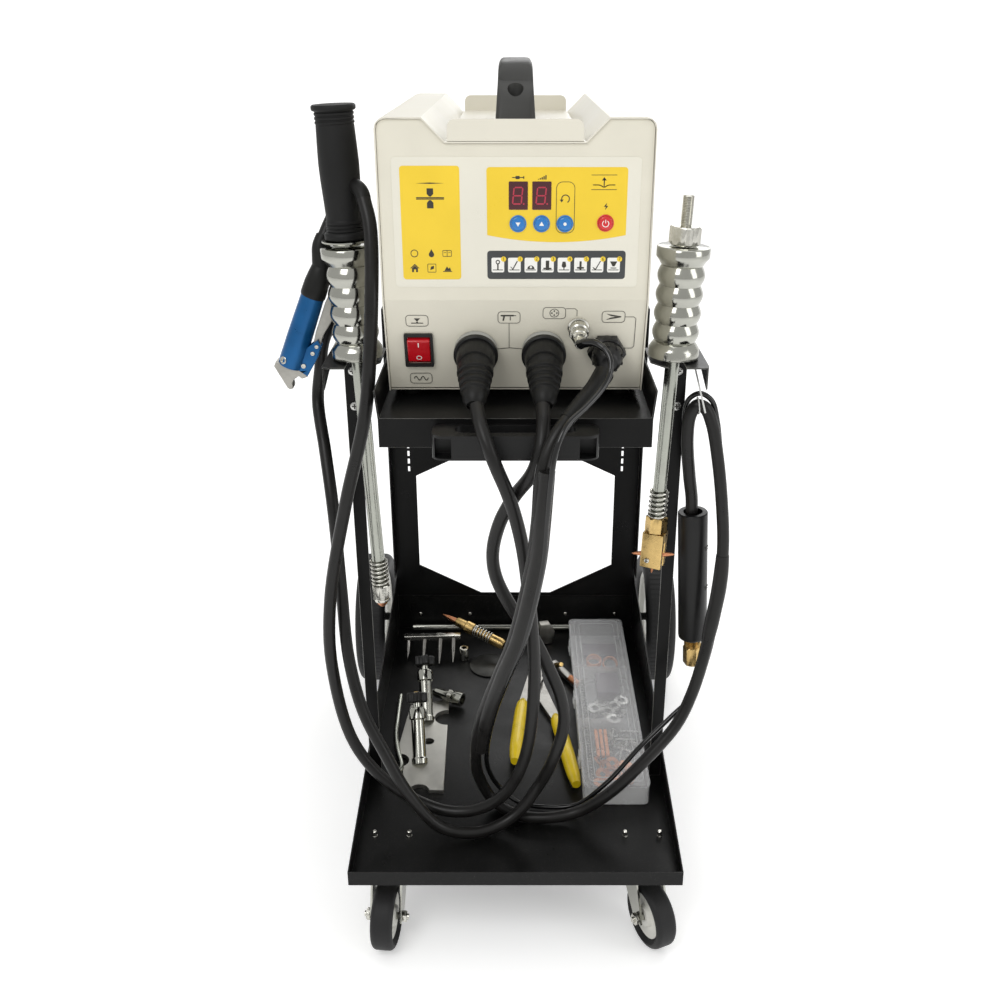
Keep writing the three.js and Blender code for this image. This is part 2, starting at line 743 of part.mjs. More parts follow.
function torchBody() {
  const tube = turnedRing(11, [[15, -161], [16.5, -157], [16.5, 0]], 24);
  const plug = rodAlongZ(12, -150, -60, 20);
  const collar = turned([[0, -174], [9, -174], [9, -159], [12, -149], [0, -149]], 20);
  const nut = hexAlongZ(19, -197, -173);
  return join(tube, plug, collar, nut);
}

function addTools() {
  for (const [name, side] of [['left', -1], ['right', 1]]) {
    const holder = new THREE.Group();
    holder.position.set(side * hammerAxis.x, hammerAxis.y, hammerAxis.z);
    holder.rotation.y = side * hammerAxis.lean;
    machine.add(holder);
    addPart(`slide_hammer_${name}`, slideHammer(), chrome, holder);
    if (side < 0) {
      addPart('pistol_rod', pistolRod(), zinc, holder);
      addPart('pistol_grip', pistolGrip(), blackRubber, holder);
    } else {
      addPart('electrode_rod', electrodeRod(), zinc, holder);
      addPart('electrode_head', electrodeHead(), brass, holder);
    }
  }
  const puller = new THREE.Group();
  puller.position.set(-232.3, -145, 646.8);
  puller.rotation.y = 0.374;
  machine.add(puller);
  addPart('puller_body', pullerBody(), blueAnodised, puller);
  addPart('puller_lever', pullerLever(), aluminium, puller);

  const torchHolder = new THREE.Group();
  torchHolder.position.set(torch.x, torch.y, torch.z);
  torchHolder.rotation.y = -torch.lean;
  machine.add(torchHolder);
  addPart('torch_body', torchBody(), blackPlastic, torchHolder);
}

// ---------- accessories on the lower tray ----------

function boxTub() {
  const { x0, x1, y0, y1, floor, height, wall } = box;
  const outside = span(x0, x1, y0, y1, floor, floor + height);
  const inside = span(x0 + wall, x1 - wall, y0 + wall, y1 - wall, floor + wall, floor + height + 1);
  return cut(outside, inside);
}

function boxLid() {
  const { x0, x1, y0, y1, floor, height, lid, wall } = box;
  const low = floor + height + gap;
  const plate = span(x0 - 1, x1 + 1, y0 - 1, y1 + 1, low, low + lid);
  const recess = span(x0 + 5, x1 - 5, y0 + 5, y1 - 5, low + wall, low + lid + 1);
  return cut(plate, recess);
}

// A flat aluminium stand with half-moon cut-outs, and two tubular legs with star knobs.
function pullerStand() {
  const plate = outline([[-144, -4], [-92, 10], [-88, -184], [-135, -182], [-151, -90]]);
  const low = trayFloor + gap;
  const flat = extrudeAlongZ(plate, low, low + 6);
  const moons = [[-92, -33, 17], [-118, -186, 13], [-149, -126, 14], [-113, -86, 7]];
  const cuts = moons.map(([x, y, r]) => rodAlongZ(r, low - 1, low + 7, 16).translate(x, y, 0));
  const legs = [[-121, -130, 0.69], [-119, -40, 0.79]].map(([x, y, lean]) => {
    const profile = [[0, 0], [9, 0], [8, 8], [8, 58], [11, 62], [11, 72], [14, 76], [14, 90], [0, 90]];
    return turned(profile, 12).rotateX(-lean).rotateY(-0.1).translate(x, y, low + 4);
  });
  const base = span(-200, 0, -300, 100, low - 20, low);
  return cut(join(cut(flat, ...cuts), ...legs), base);
}

// Each arm of the pliers runs from its jaw past the pivot to the end of its grip.
const plierArms = {
  lower: [[-4, 72], [5, 70], [10, 10], [32, -82], [51, -221], [41, -224], [20, -86], [-8, -12], [-10, 12]],
  upper: [[4, 72], [-5, 70], [-10, 10], [-22, -53], [-34, -180], [-24, -181], [-12, -53], [8, -12], [10, 12]],
};

function plierArm(name, low) {
  const blade = extrudeAlongZ(outline(plierArms[name]), low, low + 7);
  const eye = rodAlongZ(11, low, low + 7, 20);
  return join(blade, eye);
}

function addAccessories() {
  addPart('accessory_box', boxTub(), clearPlastic);
  addPart('accessory_box_lid', boxLid(), clearPlastic);
  addPart('puller_stand', pullerStand(), aluminium);
  const pliers = new THREE.Group();
  pliers.position.set(28, 50, trayFloor + gap);
  machine.add(pliers);
  addPart('plier_arm_lower', plierArm('lower', 0), gripYellow, pliers);
  addPart('plier_arm_upper', plierArm('upper', 7.4), gripYellow, pliers);
}

// ---------- cables ----------

const cables = {
  pistol_cable: {
    radius: 6.8,
    sides: 8,
    steps: 46,
    route: [[-37, -275, 632], [-33, -292, 620], [-26, -305, 603], [-18, -310, 583],
      [-6, -306, 550], [6, -297, 498], [15, -286, 417], [20, -272, 315], [8, -256, 202],
      [-18, -248, 148], [-52, -244, 126], [-90, -238, 124], [-146, -222, 146], [-187, -211, 196],
      [-207, -207, 298], [-203, -209, 385], [-177, -216, 506], [-150, -222, 609],
      [-139, -216, 719], [-139, -198, 786], [-145, -187, 810]],
  },
  puller_cable: {
    radius: 6.8,
    sides: 8,
    steps: 62,
    route: [[26, -275, 632], [26, -292, 620], [24, -306, 602], [17, -307, 578], [-2, -289, 543],
      [-16, -278, 510], [-23, -270, 474], [-20, -265, 444], [-4, -260, 405], [19, -252, 364],
      [35, -248, 326], [49, -246, 288], [54, -245, 252], [46, -247, 212], [26, -240, 158],
      [-2, -248, 122], [-41, -261, 110], [-84, -265, 119], [-121, -262, 165], [-147, -250, 212],
      [-171, -234, 258], [-187, -210, 312], [-194, -186, 384], [-198, -177, 477],
      [-208, -145, 535], [-219, -107, 582], [-214, -105, 618], [-209, -105, 646], [-199, -104, 670],
      [-190, -98, 698], [-184, -82, 735], [-181, -76, 768], [-180, -88, 794], [-181, -108, 801],
      [-183, -126, 790], [-190, -134, 775], [-198, -143, 757]],
  },
  torch_cable: {
    radius: 6.8,
    sides: 8,
    steps: 46,
    route: [[84, -258, 658], [74, -276, 649], [60, -293, 639], [46, -309, 627.5], [34, -320, 612],
      [25, -327, 588], [21, -325, 533], [16, -317, 484], [-2, -303, 391], [-17, -290, 342], [-36, -264, 272],
      [-45, -240, 211], [-43, -210, 148], [-25, -210, 112], [4, -232, 110], [35, -237, 110],
      [72, -234, 116], [108, -236, 144], [148, -230, 186],
      [184, -216, 225], [201, -205, 258], [212, -200, 301], [220, -192, 344], [227, -186, 393],
      [228, -182, 439], [223, -180, 490], [215, -178, 541], [206, -177, 580], [198, -176, 596],
      [190, -174, 598], [184, -171, 586], [183, -168, 560], [189, -162, 514], [194.5, -157, 482],
      [195.5, -155.5, 450]],
  },
  control_cable: {
    radius: 2.8,
    sides: 8,
    steps: 72,
    route: [[62, -250, 684.5], [66, -257, 688], [74, -265, 690], [83, -273, 686], [88, -281, 677],
      [86, -290, 665], [77, -300, 653.5], [64, -312, 643], [49, -324, 633], [41, -333, 622],
      [36, -338, 608], [33, -340, 590], [29, -338, 540], [26, -331, 492], [9, -317, 400],
      [-6, -304, 352], [-24, -275, 277], [-32, -250, 218], [-31, -212, 158], [-19, -200, 125],
      [4, -208, 109], [35, -213, 106], [72, -216, 112], [107, -223, 150],
      [144, -217, 196], [180, -203, 228], [206, -195, 254], [219, -190, 297], [227, -182, 340],
      [231, -177, 391], [233, -173, 437], [228, -171, 487], [220, -169, 539], [213, -170, 580],
      [205, -172, 603], [193, -170, 610], [183, -164, 602], [180, -157, 582], [185, -153, 548],
      [190, -151, 510], [196, -148.5, 490], [199, -146.5, 475]],
  },
};

function cableTube({ radius, sides, steps, route }) {
  const curve = new THREE.CatmullRomCurve3(route.map(([x, y, z]) => new THREE.Vector3(x, y, z)));
  const section = new THREE.Shape();
  for (let i = 0; i < sides; i += 1) {
    const angle = (i * 2 * Math.PI) / sides;
    const move = i === 0 ? 'moveTo' : 'lineTo';
    section[move](radius * Math.cos(angle), radius * Math.sin(angle));
  }
  return new THREE.ExtrudeGeometry(section, { steps, extrudePath: curve, bevelEnabled: false });
}

function addCables() {
  for (const [name, cable] of Object.entries(cables)) {
    addPart(name, cableTube(cable), blackRubber);
  }
}

addCabinet();
addTrolley();
addTools();
addAccessories();
addCables();

export default machine;
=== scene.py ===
"""The looks of the spot welder on its trolley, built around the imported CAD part."""

import math

import bmesh
import bpy
from mathutils import Matrix, Vector


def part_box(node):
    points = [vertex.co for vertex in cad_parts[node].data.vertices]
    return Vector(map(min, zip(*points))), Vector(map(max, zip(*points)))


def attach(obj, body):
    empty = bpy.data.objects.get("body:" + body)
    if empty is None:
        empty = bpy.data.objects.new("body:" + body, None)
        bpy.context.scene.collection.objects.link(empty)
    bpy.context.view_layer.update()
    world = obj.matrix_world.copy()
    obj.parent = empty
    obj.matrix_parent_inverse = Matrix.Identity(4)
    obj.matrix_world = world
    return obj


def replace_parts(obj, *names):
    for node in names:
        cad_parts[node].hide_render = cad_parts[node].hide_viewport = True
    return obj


# The builders take millimetres, as the CAD does, and every finished object is in metres.
MM = 0.001

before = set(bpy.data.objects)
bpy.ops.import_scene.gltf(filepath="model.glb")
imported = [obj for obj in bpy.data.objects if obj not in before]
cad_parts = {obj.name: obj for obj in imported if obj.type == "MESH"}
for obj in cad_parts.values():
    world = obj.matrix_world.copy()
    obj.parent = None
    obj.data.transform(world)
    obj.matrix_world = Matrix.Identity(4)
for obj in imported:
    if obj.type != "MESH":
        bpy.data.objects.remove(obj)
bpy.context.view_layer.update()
scene = bpy.context.scene


# ---------- finishes ----------

FINISHES = {}


def noise(tree, coords, scale, detail=4.0, stretch=(1, 1, 1)):
    texture = tree.nodes.new("ShaderNodeTexNoise")
    texture.inputs["Scale"].default_value = scale
    texture.inputs["Detail"].default_value = detail
    if stretch != (1, 1, 1):
        mapping = tree.nodes.new("ShaderNodeMapping")
        mapping.inputs["Scale"].default_value = stretch
        tree.links.new(coords, mapping.inputs["Vector"])
        coords = mapping.outputs["Vector"]
    tree.links.new(coords, texture.inputs["Vector"])
    return texture.outputs["Fac"]


def remap(tree, value, low, high, start=0.3, stop=0.7):
    node = tree.nodes.new("ShaderNodeMapRange")
    node.inputs["From Min"].default_value = start
    node.inputs["From Max"].default_value = stop
    node.inputs["To Min"].default_value = low
    node.inputs["To Max"].default_value = high
    tree.links.new(value, node.inputs["Value"])
    return node.outputs["Result"]


def blend_colors(tree, factor, first, second):
    node = tree.nodes.new("ShaderNodeMix")
    node.data_type = "RGBA"
    node.inputs["A"].default_value = (*first, 1)
    node.inputs["B"].default_value = (*second, 1)
    tree.links.new(factor, node.inputs["Factor"])
    return node.outputs["Result"]


def finish(name, slot, color, roughness, metallic=0.0, tint=0.08, spread=0.07, mottling=22.0,
           grain=700.0, depth=0.03, stretch=(1, 1, 1), coat=0.0, specks=None, **sockets):
    """A material with cloudy colour, uneven gloss and a fine raised grain."""
    material = bpy.data.materials.new(name)
    material.use_nodes = True
    tree = material.node_tree
    shader = tree.nodes["Principled BSDF"]
    coords = tree.nodes.new("ShaderNodeTexCoord").outputs["Object"]
    clouds = noise(tree, coords, mottling)
    fine = noise(tree, coords, grain, 3.0, stretch)
    light = tuple(min(1.0, c * (1 + tint)) for c in color)
    dark = tuple(c * (1 - tint) for c in color)
    tone = blend_colors(tree, remap(tree, clouds, 0, 1), dark, light)
    if specks:
        dots = remap(tree, noise(tree, coords, 1400.0, 1.0), 0, 1, 0.70, 0.74)
        node = tree.nodes.new("ShaderNodeMix")
        node.data_type = "RGBA"
        node.inputs["B"].default_value = (*specks, 1)
        tree.links.new(dots, node.inputs["Factor"])
        tree.links.new(tone, node.inputs["A"])
        tone = node.outputs["Result"]
    tree.links.new(tone, shader.inputs["Base Color"])
    mixed = tree.nodes.new("ShaderNodeMath")
    mixed.operation = "ADD"
    tree.links.new(remap(tree, clouds, -spread, spread), mixed.inputs[0])
    tree.links.new(remap(tree, fine, roughness - spread / 2, roughness + spread / 2), mixed.inputs[1])
    tree.links.new(mixed.outputs["Value"], shader.inputs["Roughness"])
    bump = tree.nodes.new("ShaderNodeBump")
    bump.inputs["Strength"].default_value = 0.6
    bump.inputs["Distance"].default_value = depth * MM
    tree.links.new(fine, bump.inputs["Height"])
    tree.links.new(bump.outputs["Normal"], shader.inputs["Normal"])
    shader.inputs["Metallic"].default_value = metallic
    shader.inputs["Coat Weight"].default_value = coat
    for socket, value in sockets.items():
        shader.inputs[socket.replace("_", " ")].default_value = value
    FINISHES[name] = (material, slot)


def paints():
    finish("cream", "cream_paint", (0.69, 0.66, 0.565), 0.42, tint=0.02, grain=520, depth=0.05, coat=0.15)
    finish("cream_shade", "cream_paint", (0.68, 0.65, 0.55), 0.45, tint=0.025, grain=520, depth=0.05)
    finish("cream_edge", "cream_paint", (0.62, 0.59, 0.51), 0.4, tint=0.05, grain=300)
    finish("overlay", "cream_paint", (0.72, 0.695, 0.6), 0.36, tint=0.015, grain=900, depth=0.01)
    finish("black", "black_paint", (0.005, 0.005, 0.005), 0.34, tint=0.3, spread=0.06, grain=420,
           depth=0.05, Specular_IOR_Level=0.15)
    # The lighter edge finish of the black sheet metal is partly wear and partly painted highlight.
    finish("black_edge_wear_and_highlight", "black_paint", (0.2, 0.2, 0.19), 0.33, 0.4, tint=0.5, grain=160, mottling=60)
    finish("tray_black", "black_paint", (0.004, 0.004, 0.004), 0.36, tint=0.3, grain=420, depth=0.06,
           specks=(0.12, 0.12, 0.11), Specular_IOR_Level=0.2)
    finish("yellow", "cream_paint", (0.80, 0.56, 0.03), 0.36, tint=0.03, grain=900, depth=0.01)
    finish("ink", "cream_paint", (0.03, 0.027, 0.02), 0.45, tint=0.2, grain=900, depth=0.01)
    finish("ink_grey", "cream_paint", (0.045, 0.048, 0.05), 0.4, tint=0.15, grain=900, depth=0.01)
    finish("strap", "clear_plastic", (0.62, 0.62, 0.6), 0.35, tint=0.06, grain=600, depth=0.02)
    finish("white_ink", "cream_paint", (0.82, 0.81, 0.77), 0.4, tint=0.03, grain=900, depth=0.01)


def plastics():
    finish("plastic", "black_plastic", (0.006, 0.006, 0.006), 0.4, tint=0.2, grain=1500, depth=0.04,
           Specular_IOR_Level=0.3)
    finish("handle", "black_plastic", (0.034, 0.034, 0.032), 0.5, tint=0.15, grain=1700, depth=0.06,
           Specular_IOR_Level=0.35)
    finish("moulded", "black_plastic", (0.007, 0.007, 0.007), 0.36, tint=0.2, grain=1300, depth=0.05,
           Specular_IOR_Level=0.35)
    finish("socket_grey", "zinc", (0.33, 0.33, 0.31), 0.5, tint=0.1, grain=1300)
    finish("rubber", "black_rubber", (0.008, 0.008, 0.0075), 0.45, tint=0.2, grain=1500, depth=0.04,
           Specular_IOR_Level=0.22)
    finish("cable", "black_rubber", (0.01, 0.0095, 0.009), 0.34, tint=0.22, mottling=45, grain=1100,
           depth=0.04, Specular_IOR_Level=0.26)
    finish("cable_gloss", "black_rubber", (0.005, 0.005, 0.005), 0.13, tint=0.2, spread=0.03, mottling=45,
           grain=900, depth=0.01)
    finish("grip", "black_rubber", (0.009, 0.009, 0.009), 0.55, tint=0.2, grain=2200, depth=0.12,
           Specular_IOR_Level=0.22)
    finish("tyre", "tyre_rubber", (0.012, 0.012, 0.0125), 0.58, tint=0.25, mottling=30, grain=800, depth=0.1,
           Specular_IOR_Level=0.3)
    finish("rim", "tyre_rubber", (0.6, 0.595, 0.55), 0.45, tint=0.08, grain=900, depth=0.04)
    finish("blue", "button_blue", (0.01, 0.17, 0.50), 0.3, tint=0.08, grain=1200, depth=0.01, coat=0.4)
    finish("red", "button_red", (0.60, 0.014, 0.018), 0.3, tint=0.1, grain=1200, depth=0.01, coat=0.4)
    finish("rocker_red", "button_red", (0.42, 0.004, 0.01), 0.2, tint=0.15, grain=600, depth=0.02, coat=0.5,
           Emission_Color=(0.5, 0.005, 0.01, 1), Emission_Strength=0.12)
    finish("display", "button_red", (0.055, 0.002, 0.006), 0.16, tint=0.12, grain=1500, depth=0.01, coat=0.6)
    finish("digit", "button_red", (0.42, 0.03, 0.06), 0.35, tint=0.08, grain=1500, depth=0.01)
    finish("vinyl", "yellow_grip", (0.83, 0.60, 0.008), 0.33, tint=0.07, mottling=60, grain=900, coat=0.3)
    finish("clear", "clear_plastic", (0.86, 0.87, 0.87), 0.2, tint=0.02, grain=260, depth=0.04, Alpha=0.3)
    finish("clear_lid", "clear_plastic", (0.88, 0.88, 0.89), 0.24, tint=0.02, grain=260, depth=0.05,
           Alpha=0.22)
    finish("violet", "black_plastic", (0.1, 0.075, 0.1), 0.4, tint=0.1, grain=700)
    finish("board", "board_green", (0.012, 0.1, 0.04), 0.4, tint=0.2, grain=500)


def metals():
    finish("chrome", "chrome", (0.42, 0.42, 0.38), 0.15, 1.0, tint=0.06, spread=0.04, grain=260, depth=0.012)
    finish("chrome_rod", "zinc", (0.36, 0.37, 0.33), 0.24, 1.0, tint=0.1, spread=0.06, mottling=40, grain=60,
           depth=0.01, stretch=(14, 14, 0.6))
    finish("zinc", "zinc", (0.56, 0.56, 0.54), 0.3, 1.0, tint=0.16, spread=0.1, mottling=90, grain=700)
    finish("steel", "zinc", (0.33, 0.32, 0.3), 0.36, 1.0, tint=0.2, spread=0.1, mottling=70, grain=600)
    finish("dark_steel", "zinc", (0.09, 0.09, 0.085), 0.4, 0.9, tint=0.2, mottling=70, grain=600)
    finish("bright", "zinc", (0.60, 0.59, 0.54), 0.22, 1.0, tint=0.1, spread=0.08, mottling=120, grain=500)
    finish("brass", "brass", (0.60, 0.42, 0.17), 0.3, 1.0, tint=0.2, spread=0.1, mottling=110, grain=600)
    finish("copper", "copper", (0.62, 0.27, 0.14), 0.33, 1.0, tint=0.2, spread=0.1, mottling=110, grain=600)
    finish("aluminium", "aluminium", (0.55, 0.54, 0.5), 0.42, 1.0, tint=0.08, spread=0.08, mottling=60,
           grain=240, depth=0.03, stretch=(1, 12, 1))
    finish("cast", "aluminium", (0.38, 0.37, 0.34), 0.42, 1.0, tint=0.14, spread=0.1, mottling=90, grain=500,
           depth=0.08)
    finish("blue_metal", "blue_anodised", (0.004, 0.095, 0.27), 0.34, 0.5, tint=0.12, spread=0.06,
           mottling=50, grain=700, depth=0.03)
    finish("core", "core_steel", (0.12, 0.12, 0.12), 0.5, 0.8, tint=0.3, grain=200, stretch=(1, 1, 12))
    finish("winding", "copper", (0.42, 0.16, 0.06), 0.3, 0.9, tint=0.3, grain=120, stretch=(1, 1, 10))


# ---------- mesh builders ----------


def mesh_of(bm):
    mesh = bpy.data.meshes.new("shape")
    bm.normal_update()
    bm.to_mesh(mesh)
    bm.free()
    return mesh


def at(x=0.0, y=0.0, z=0.0, rx=0.0, ry=0.0, rz=0.0):
    """A place in millimetres and degrees, turned about X, then Y, then Z."""
    turn = Matrix.Rotation(math.radians(rz), 4, "Z") @ Matrix.Rotation(math.radians(ry), 4, "Y")
    return Matrix.Translation((x, y, z)) @ turn @ Matrix.Rotation(math.radians(rx), 4, "X")


def moved(mesh, place):
    mesh.transform(place)
    return mesh


def joined(*meshes):
    bm = bmesh.new()
    for mesh in meshes:
        bm.from_mesh(mesh)
        bpy.data.meshes.remove(mesh)
    return mesh_of(bm)


def turned(profile, sides=40):
    """A solid turned about Z from [radius, z] points, bottom to top; a ring closes on itself."""
    bm = bmesh.new()
    rings = []
    for radius, z in profile:
        count = sides if radius > 1e-6 else 1
        turns = [2 * math.pi * i / sides for i in range(count)]
        rings.append([bm.verts.new((radius * math.cos(a), radius * math.sin(a), z)) for a in turns])
    for low, high in zip(rings, rings[1:]):
        for i in range(sides):
            j = (i + 1) % sides
            corners = [low[i % len(low)], low[j % len(low)], high[j % len(high)], high[i % len(high)]]
            kept = list(dict.fromkeys(corners))
            if len(kept) > 2:
                bm.faces.new(kept)
    bmesh.ops.remove_doubles(bm, verts=bm.verts, dist=1e-4)
    bmesh.ops.recalc_face_normals(bm, faces=bm.faces)
    return mesh_of(bm)


def ring(bore, profile, sides=40):
    return turned([(bore, profile[0][1]), *profile, (bore, profile[-1][1]), (bore, profile[0][1])], sides)


def curve_data(loops, cyclic):
    curve = bpy.data.curves.new("curve", "CURVE")
    for loop in loops:
        spline = curve.splines.new("POLY")
        spline.points.add(len(loop) - 1)
        for point, place in zip(spline.points, loop):
            point.co = (*place, 0, 1) if len(place) == 2 else (*place, 1)
        spline.use_cyclic_u = cyclic
    return curve


def curve_to_mesh(curve):
    holder = bpy.data.objects.new("curve", curve)
    scene.collection.objects.link(holder)
    mesh = bpy.data.meshes.new_from_object(holder.evaluated_get(bpy.context.evaluated_depsgraph_get()))
    bpy.data.objects.remove(holder)
    bpy.data.curves.remove(curve)
    bm = bmesh.new()
    bm.from_mesh(mesh)
    bpy.data.meshes.remove(mesh)
    bmesh.ops.remove_doubles(bm, verts=bm.verts, dist=1e-4)
    bmesh.ops.recalc_face_normals(bm, faces=bm.faces)
    return mesh_of(bm)


def plate(loops, low, high, edge=0.0):
    """A flat plate in XY from z low to high: an outline, then its holes. Its rims are rounded by edge."""
    curve = curve_data(loops, True)
    curve.dimensions = "2D"
    curve.fill_mode = "BOTH"
    curve.extrude = (high - low) / 2 - edge
    curve.bevel_depth = edge
    curve.bevel_resolution = 2
    curve.offset = -edge
    return moved(curve_to_mesh(curve), at(z=(low + high) / 2))


def wire(points, radius, closed=False, detail=3):
    curve = curve_data([points], closed)
    curve.dimensions = "3D"
    curve.bevel_depth = radius
    curve.bevel_resolution = detail
    curve.use_fill_caps = not closed
    return curve_to_mesh(curve)


def arc(x, y, radius, start, stop, count=8):
    """Points on an arc in XY, with its angles in degrees."""
    turns = [math.radians(start + (stop - start) * i / count) for i in range(count + 1)]
    return [(x + radius * math.cos(a), y + radius * math.sin(a)) for a in turns]


def circle(radius, x=0.0, y=0.0, count=32):
    return arc(x, y, radius, 0, 360, count)[:-1]


def rounded(x0, x1, y0, y1, radius, count=6):
    corners = [(x1, y1, 0, -1, -1), (x0, y1, 90, 1, -1), (x0, y0, 180, 1, 1), (x1, y0, 270, -1, 1)]
    return [p for x, y, a, sx, sy in corners
            for p in arc(x + sx * radius, y + sy * radius, radius, a, a + 90, count)]


def block(x0, x1, y0, y1, z0, z1, radius=1.0, edge=0.4):
    return plate([rounded(x0, x1, y0, y1, radius, 4)], z0, z1, edge)


def hex_nut(across, z0, z1, turn=0.0):
    """A nut whose corners are chamfered, as a lathe leaves them."""
    bm = bmesh.new()
    radius = across / math.sqrt(3)
    chamfer = (radius - across / 2) * 0.62
    face = across / 2 * 0.97
    levels = [(face, z0), (radius, z0 + chamfer), (radius, z1 - chamfer), (face, z1)]
    rows = []
    for reach, z in levels:
        row = []
        for i in range(36):
            a = 2 * math.pi * i / 36
            flat = (across / 2) / math.cos((a - math.pi / 6) % (math.pi / 3) - math.pi / 6)
            r = min(reach, flat)
            row.append(bm.verts.new((r * math.cos(a), r * math.sin(a), z)))
        rows.append(row)
    for low, high in zip(rows, rows[1:]):
        for i in range(36):
            j = (i + 1) % 36
            bm.faces.new((low[i], low[j], high[j], high[i]))
    bm.faces.new(rows[0][::-1])
    bm.faces.new(rows[-1])
    return moved(mesh_of(bm), at(rz=turn))


def cross_screw(radius, height):
    """The head of a pan-head screw, along +Z from z 0."""
    dome = [(0, 0), (radius, 0), (radius, height * 0.4), (radius * 0.85, height * 0.8),
            (radius * 0.5, height), (0, height * 1.02)]
    return turned(dome, 24)


def cross_recess(radius, height):
    """The dark cross in that head, standing just proud of its top: painted shade in place of its recess."""
    arm = radius * 0.14
    reach = radius * 0.56
    outline = [(reach, -arm), (reach, arm), (arm, arm), (arm, reach), (-arm, reach), (-arm, arm),
               (-reach, arm), (-reach, -arm), (-arm, -arm), (-arm, -reach), (arm, -reach), (arm, -arm)]
    return plate([outline], height * 0.75, height * 1.06)


def helix(radius, z0, z1, turns, flat=0.75):
    """Points of a coil spring, closed at both ends for about three quarters of a turn."""
    count = int(turns * 20)
    points = []
    for i in range(count + 1):
        t = i / 20
        rise = min(max((t - flat) / (turns - 2 * flat), 0), 1)
        a = 2 * math.pi * t
        points.append((radius * math.cos(a), radius * math.sin(a), z0 + (z1 - z0) * rise))
    return points


def shade(obj, angle):
    for polygon in obj.data.polygons:
        polygon.use_smooth = True
    obj.data.set_sharp_from_angle(angle=math.radians(angle))


def round_edges(obj, width, material=-1):
    bevel = obj.modifiers.new("edges", "BEVEL")
    bevel.width = width * MM
    bevel.segments = 2
    bevel.limit_method = "ANGLE"
    bevel.angle_limit = math.radians(35)
    bevel.material = material


def piece(name, mesh, look, body="machine", place=None, bevel=0.0, angle=35, subdivide=0):
    """Turns a mesh in millimetres into a piece of the model that rides on a body."""
    mesh.transform(Matrix.Scale(MM, 4))
    obj = bpy.data.objects.new(name, mesh)
    scene.collection.objects.link(obj)
    if place is not None:
        obj.matrix_world = Matrix.Translation(place.translation * MM) @ place.to_3x3().to_4x4()
    material, slot = FINISHES[look]
    mesh.materials.clear()
    mesh.materials.append(material)
    shade(obj, angle)
    if bevel:
        round_edges(obj, bevel)
    if subdivide:
        surface = obj.modifiers.new("surface", "SUBSURF")
        surface.levels = surface.render_levels = subdivide
    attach(obj, body)
    return obj


def carve(obj, cutter, place):
    """Cuts a closed mesh, in millimetres, out of a piece, and keeps the result as its mesh."""
    cutter.transform(Matrix.Scale(MM, 4) @ place)
    tool = bpy.data.objects.new("cutter", cutter)
    scene.collection.objects.link(tool)
    cut = obj.modifiers.new("cut", "BOOLEAN")
    cut.operation = "DIFFERENCE"
    cut.object = tool
    result = bpy.data.meshes.new_from_object(obj.evaluated_get(bpy.context.evaluated_depsgraph_get()))
    obj.modifiers.clear()
    obj.data = result
    bpy.data.objects.remove(tool)
    shade(obj, 50)


def dress(node, look, bevel=0.0, edge=None):
    """Gives a CAD node its finish, and small rounded edges."""
    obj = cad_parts[node]
    obj.data.materials.clear()
    obj.data.materials.append(FINISHES[look][0])
    if bevel:
        weld = obj.modifiers.new("weld", "WELD")
        weld.merge_threshold = 0.01 * MM
        if edge:
            obj.data.materials.append(FINISHES[edge][0])
        round_edges(obj, bevel, material=1 if edge else -1)


def box_mm(node):
    low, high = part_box(node)
    return low / MM, high / MM


# ---------- camera, lights and floor ----------


def camera():
    data = bpy.data.cameras.new("camera")
    data.lens = 38.59
    data.sensor_width = 36
    data.shift_x = -0.0155
    obj = bpy.data.objects.new("camera", data)
    obj.location = (0, -1.24, 0.958)
    obj.rotation_euler = (math.radians(66.3), 0, 0)
    scene.collection.objects.link(obj)
    scene.camera = obj


def area_light(name, place, aim, size, power, color=(1, 1, 1)):
    data = bpy.data.lights.new(name, "AREA")
    data.shape = "RECTANGLE"
    data.size, data.size_y = size
    data.energy = power
    data.color = color
    obj = bpy.data.objects.new(name, data)
    obj.location = place
    obj.rotation_euler = (Vector(aim) - Vector(place)).to_track_quat("-Z", "Y").to_euler()
    scene.collection.objects.link(obj)


def lights():
    world = bpy.data.worlds.new("studio")
    world.use_nodes = True
    background = world.node_tree.nodes["Background"]
    background.inputs["Color"].default_value = (0.74, 0.74, 0.73, 1)
    background.inputs["Strength"].default_value = 0.9
    scene.world = world
    area_light("key", (-0.9, -1.7, 2.3), (0, 0, 0.5), (1.2, 1.2), 19)
    area_light("fill", (1.9, -1.1, 1.3), (0, 0, 0.5), (0.9, 1.6), 10)
    area_light("top", (0.1, 0.1, 2.6), (0, 0, 0.5), (1.6, 1.6), 8)
    area_light("back", (0.6, 2.2, 1.8), (0, 0, 0.5), (1.6, 1.2), 12)
    scene.view_settings.view_transform = "Standard"


def floor():
    bm = bmesh.new()
    rows = []
    for i in range(40):
        t = i / 39
        y = -4 + 9 * min(t * 1.25, 1)
        z = -0.0005 if t < 0.8 else 2.5 * (1 - math.cos((t - 0.8) / 0.2 * math.pi / 2))
        rows.append([bm.verts.new((x, y, z)) for x in (-6, -2, 2, 6)])
    for low, high in zip(rows, rows[1:]):
        for i in range(3):
            bm.faces.new((low[i], low[i + 1], high[i + 1], high[i]))
    obj = bpy.data.objects.new("floor", mesh_of(bm))
    material = bpy.data.materials.new("floor")
    material.use_nodes = True
    tree = material.node_tree
    shader = tree.nodes["Principled BSDF"]
    coords = tree.nodes.new("ShaderNodeTexCoord").outputs["Object"]
    clouds = noise(tree, coords, 3.0)
    tree.links.new(remap(tree, clouds, 0.75, 0.85), shader.inputs["Roughness"])
    shader.inputs["Base Color"].default_value = (0.95, 0.95, 0.95, 1)
    shader.inputs["Emission Color"].default_value = (1, 1, 1, 1)
    shader.inputs["Emission Strength"].default_value = 0.3
    obj.data.materials.append(material)
    scene.collection.objects.link(obj)


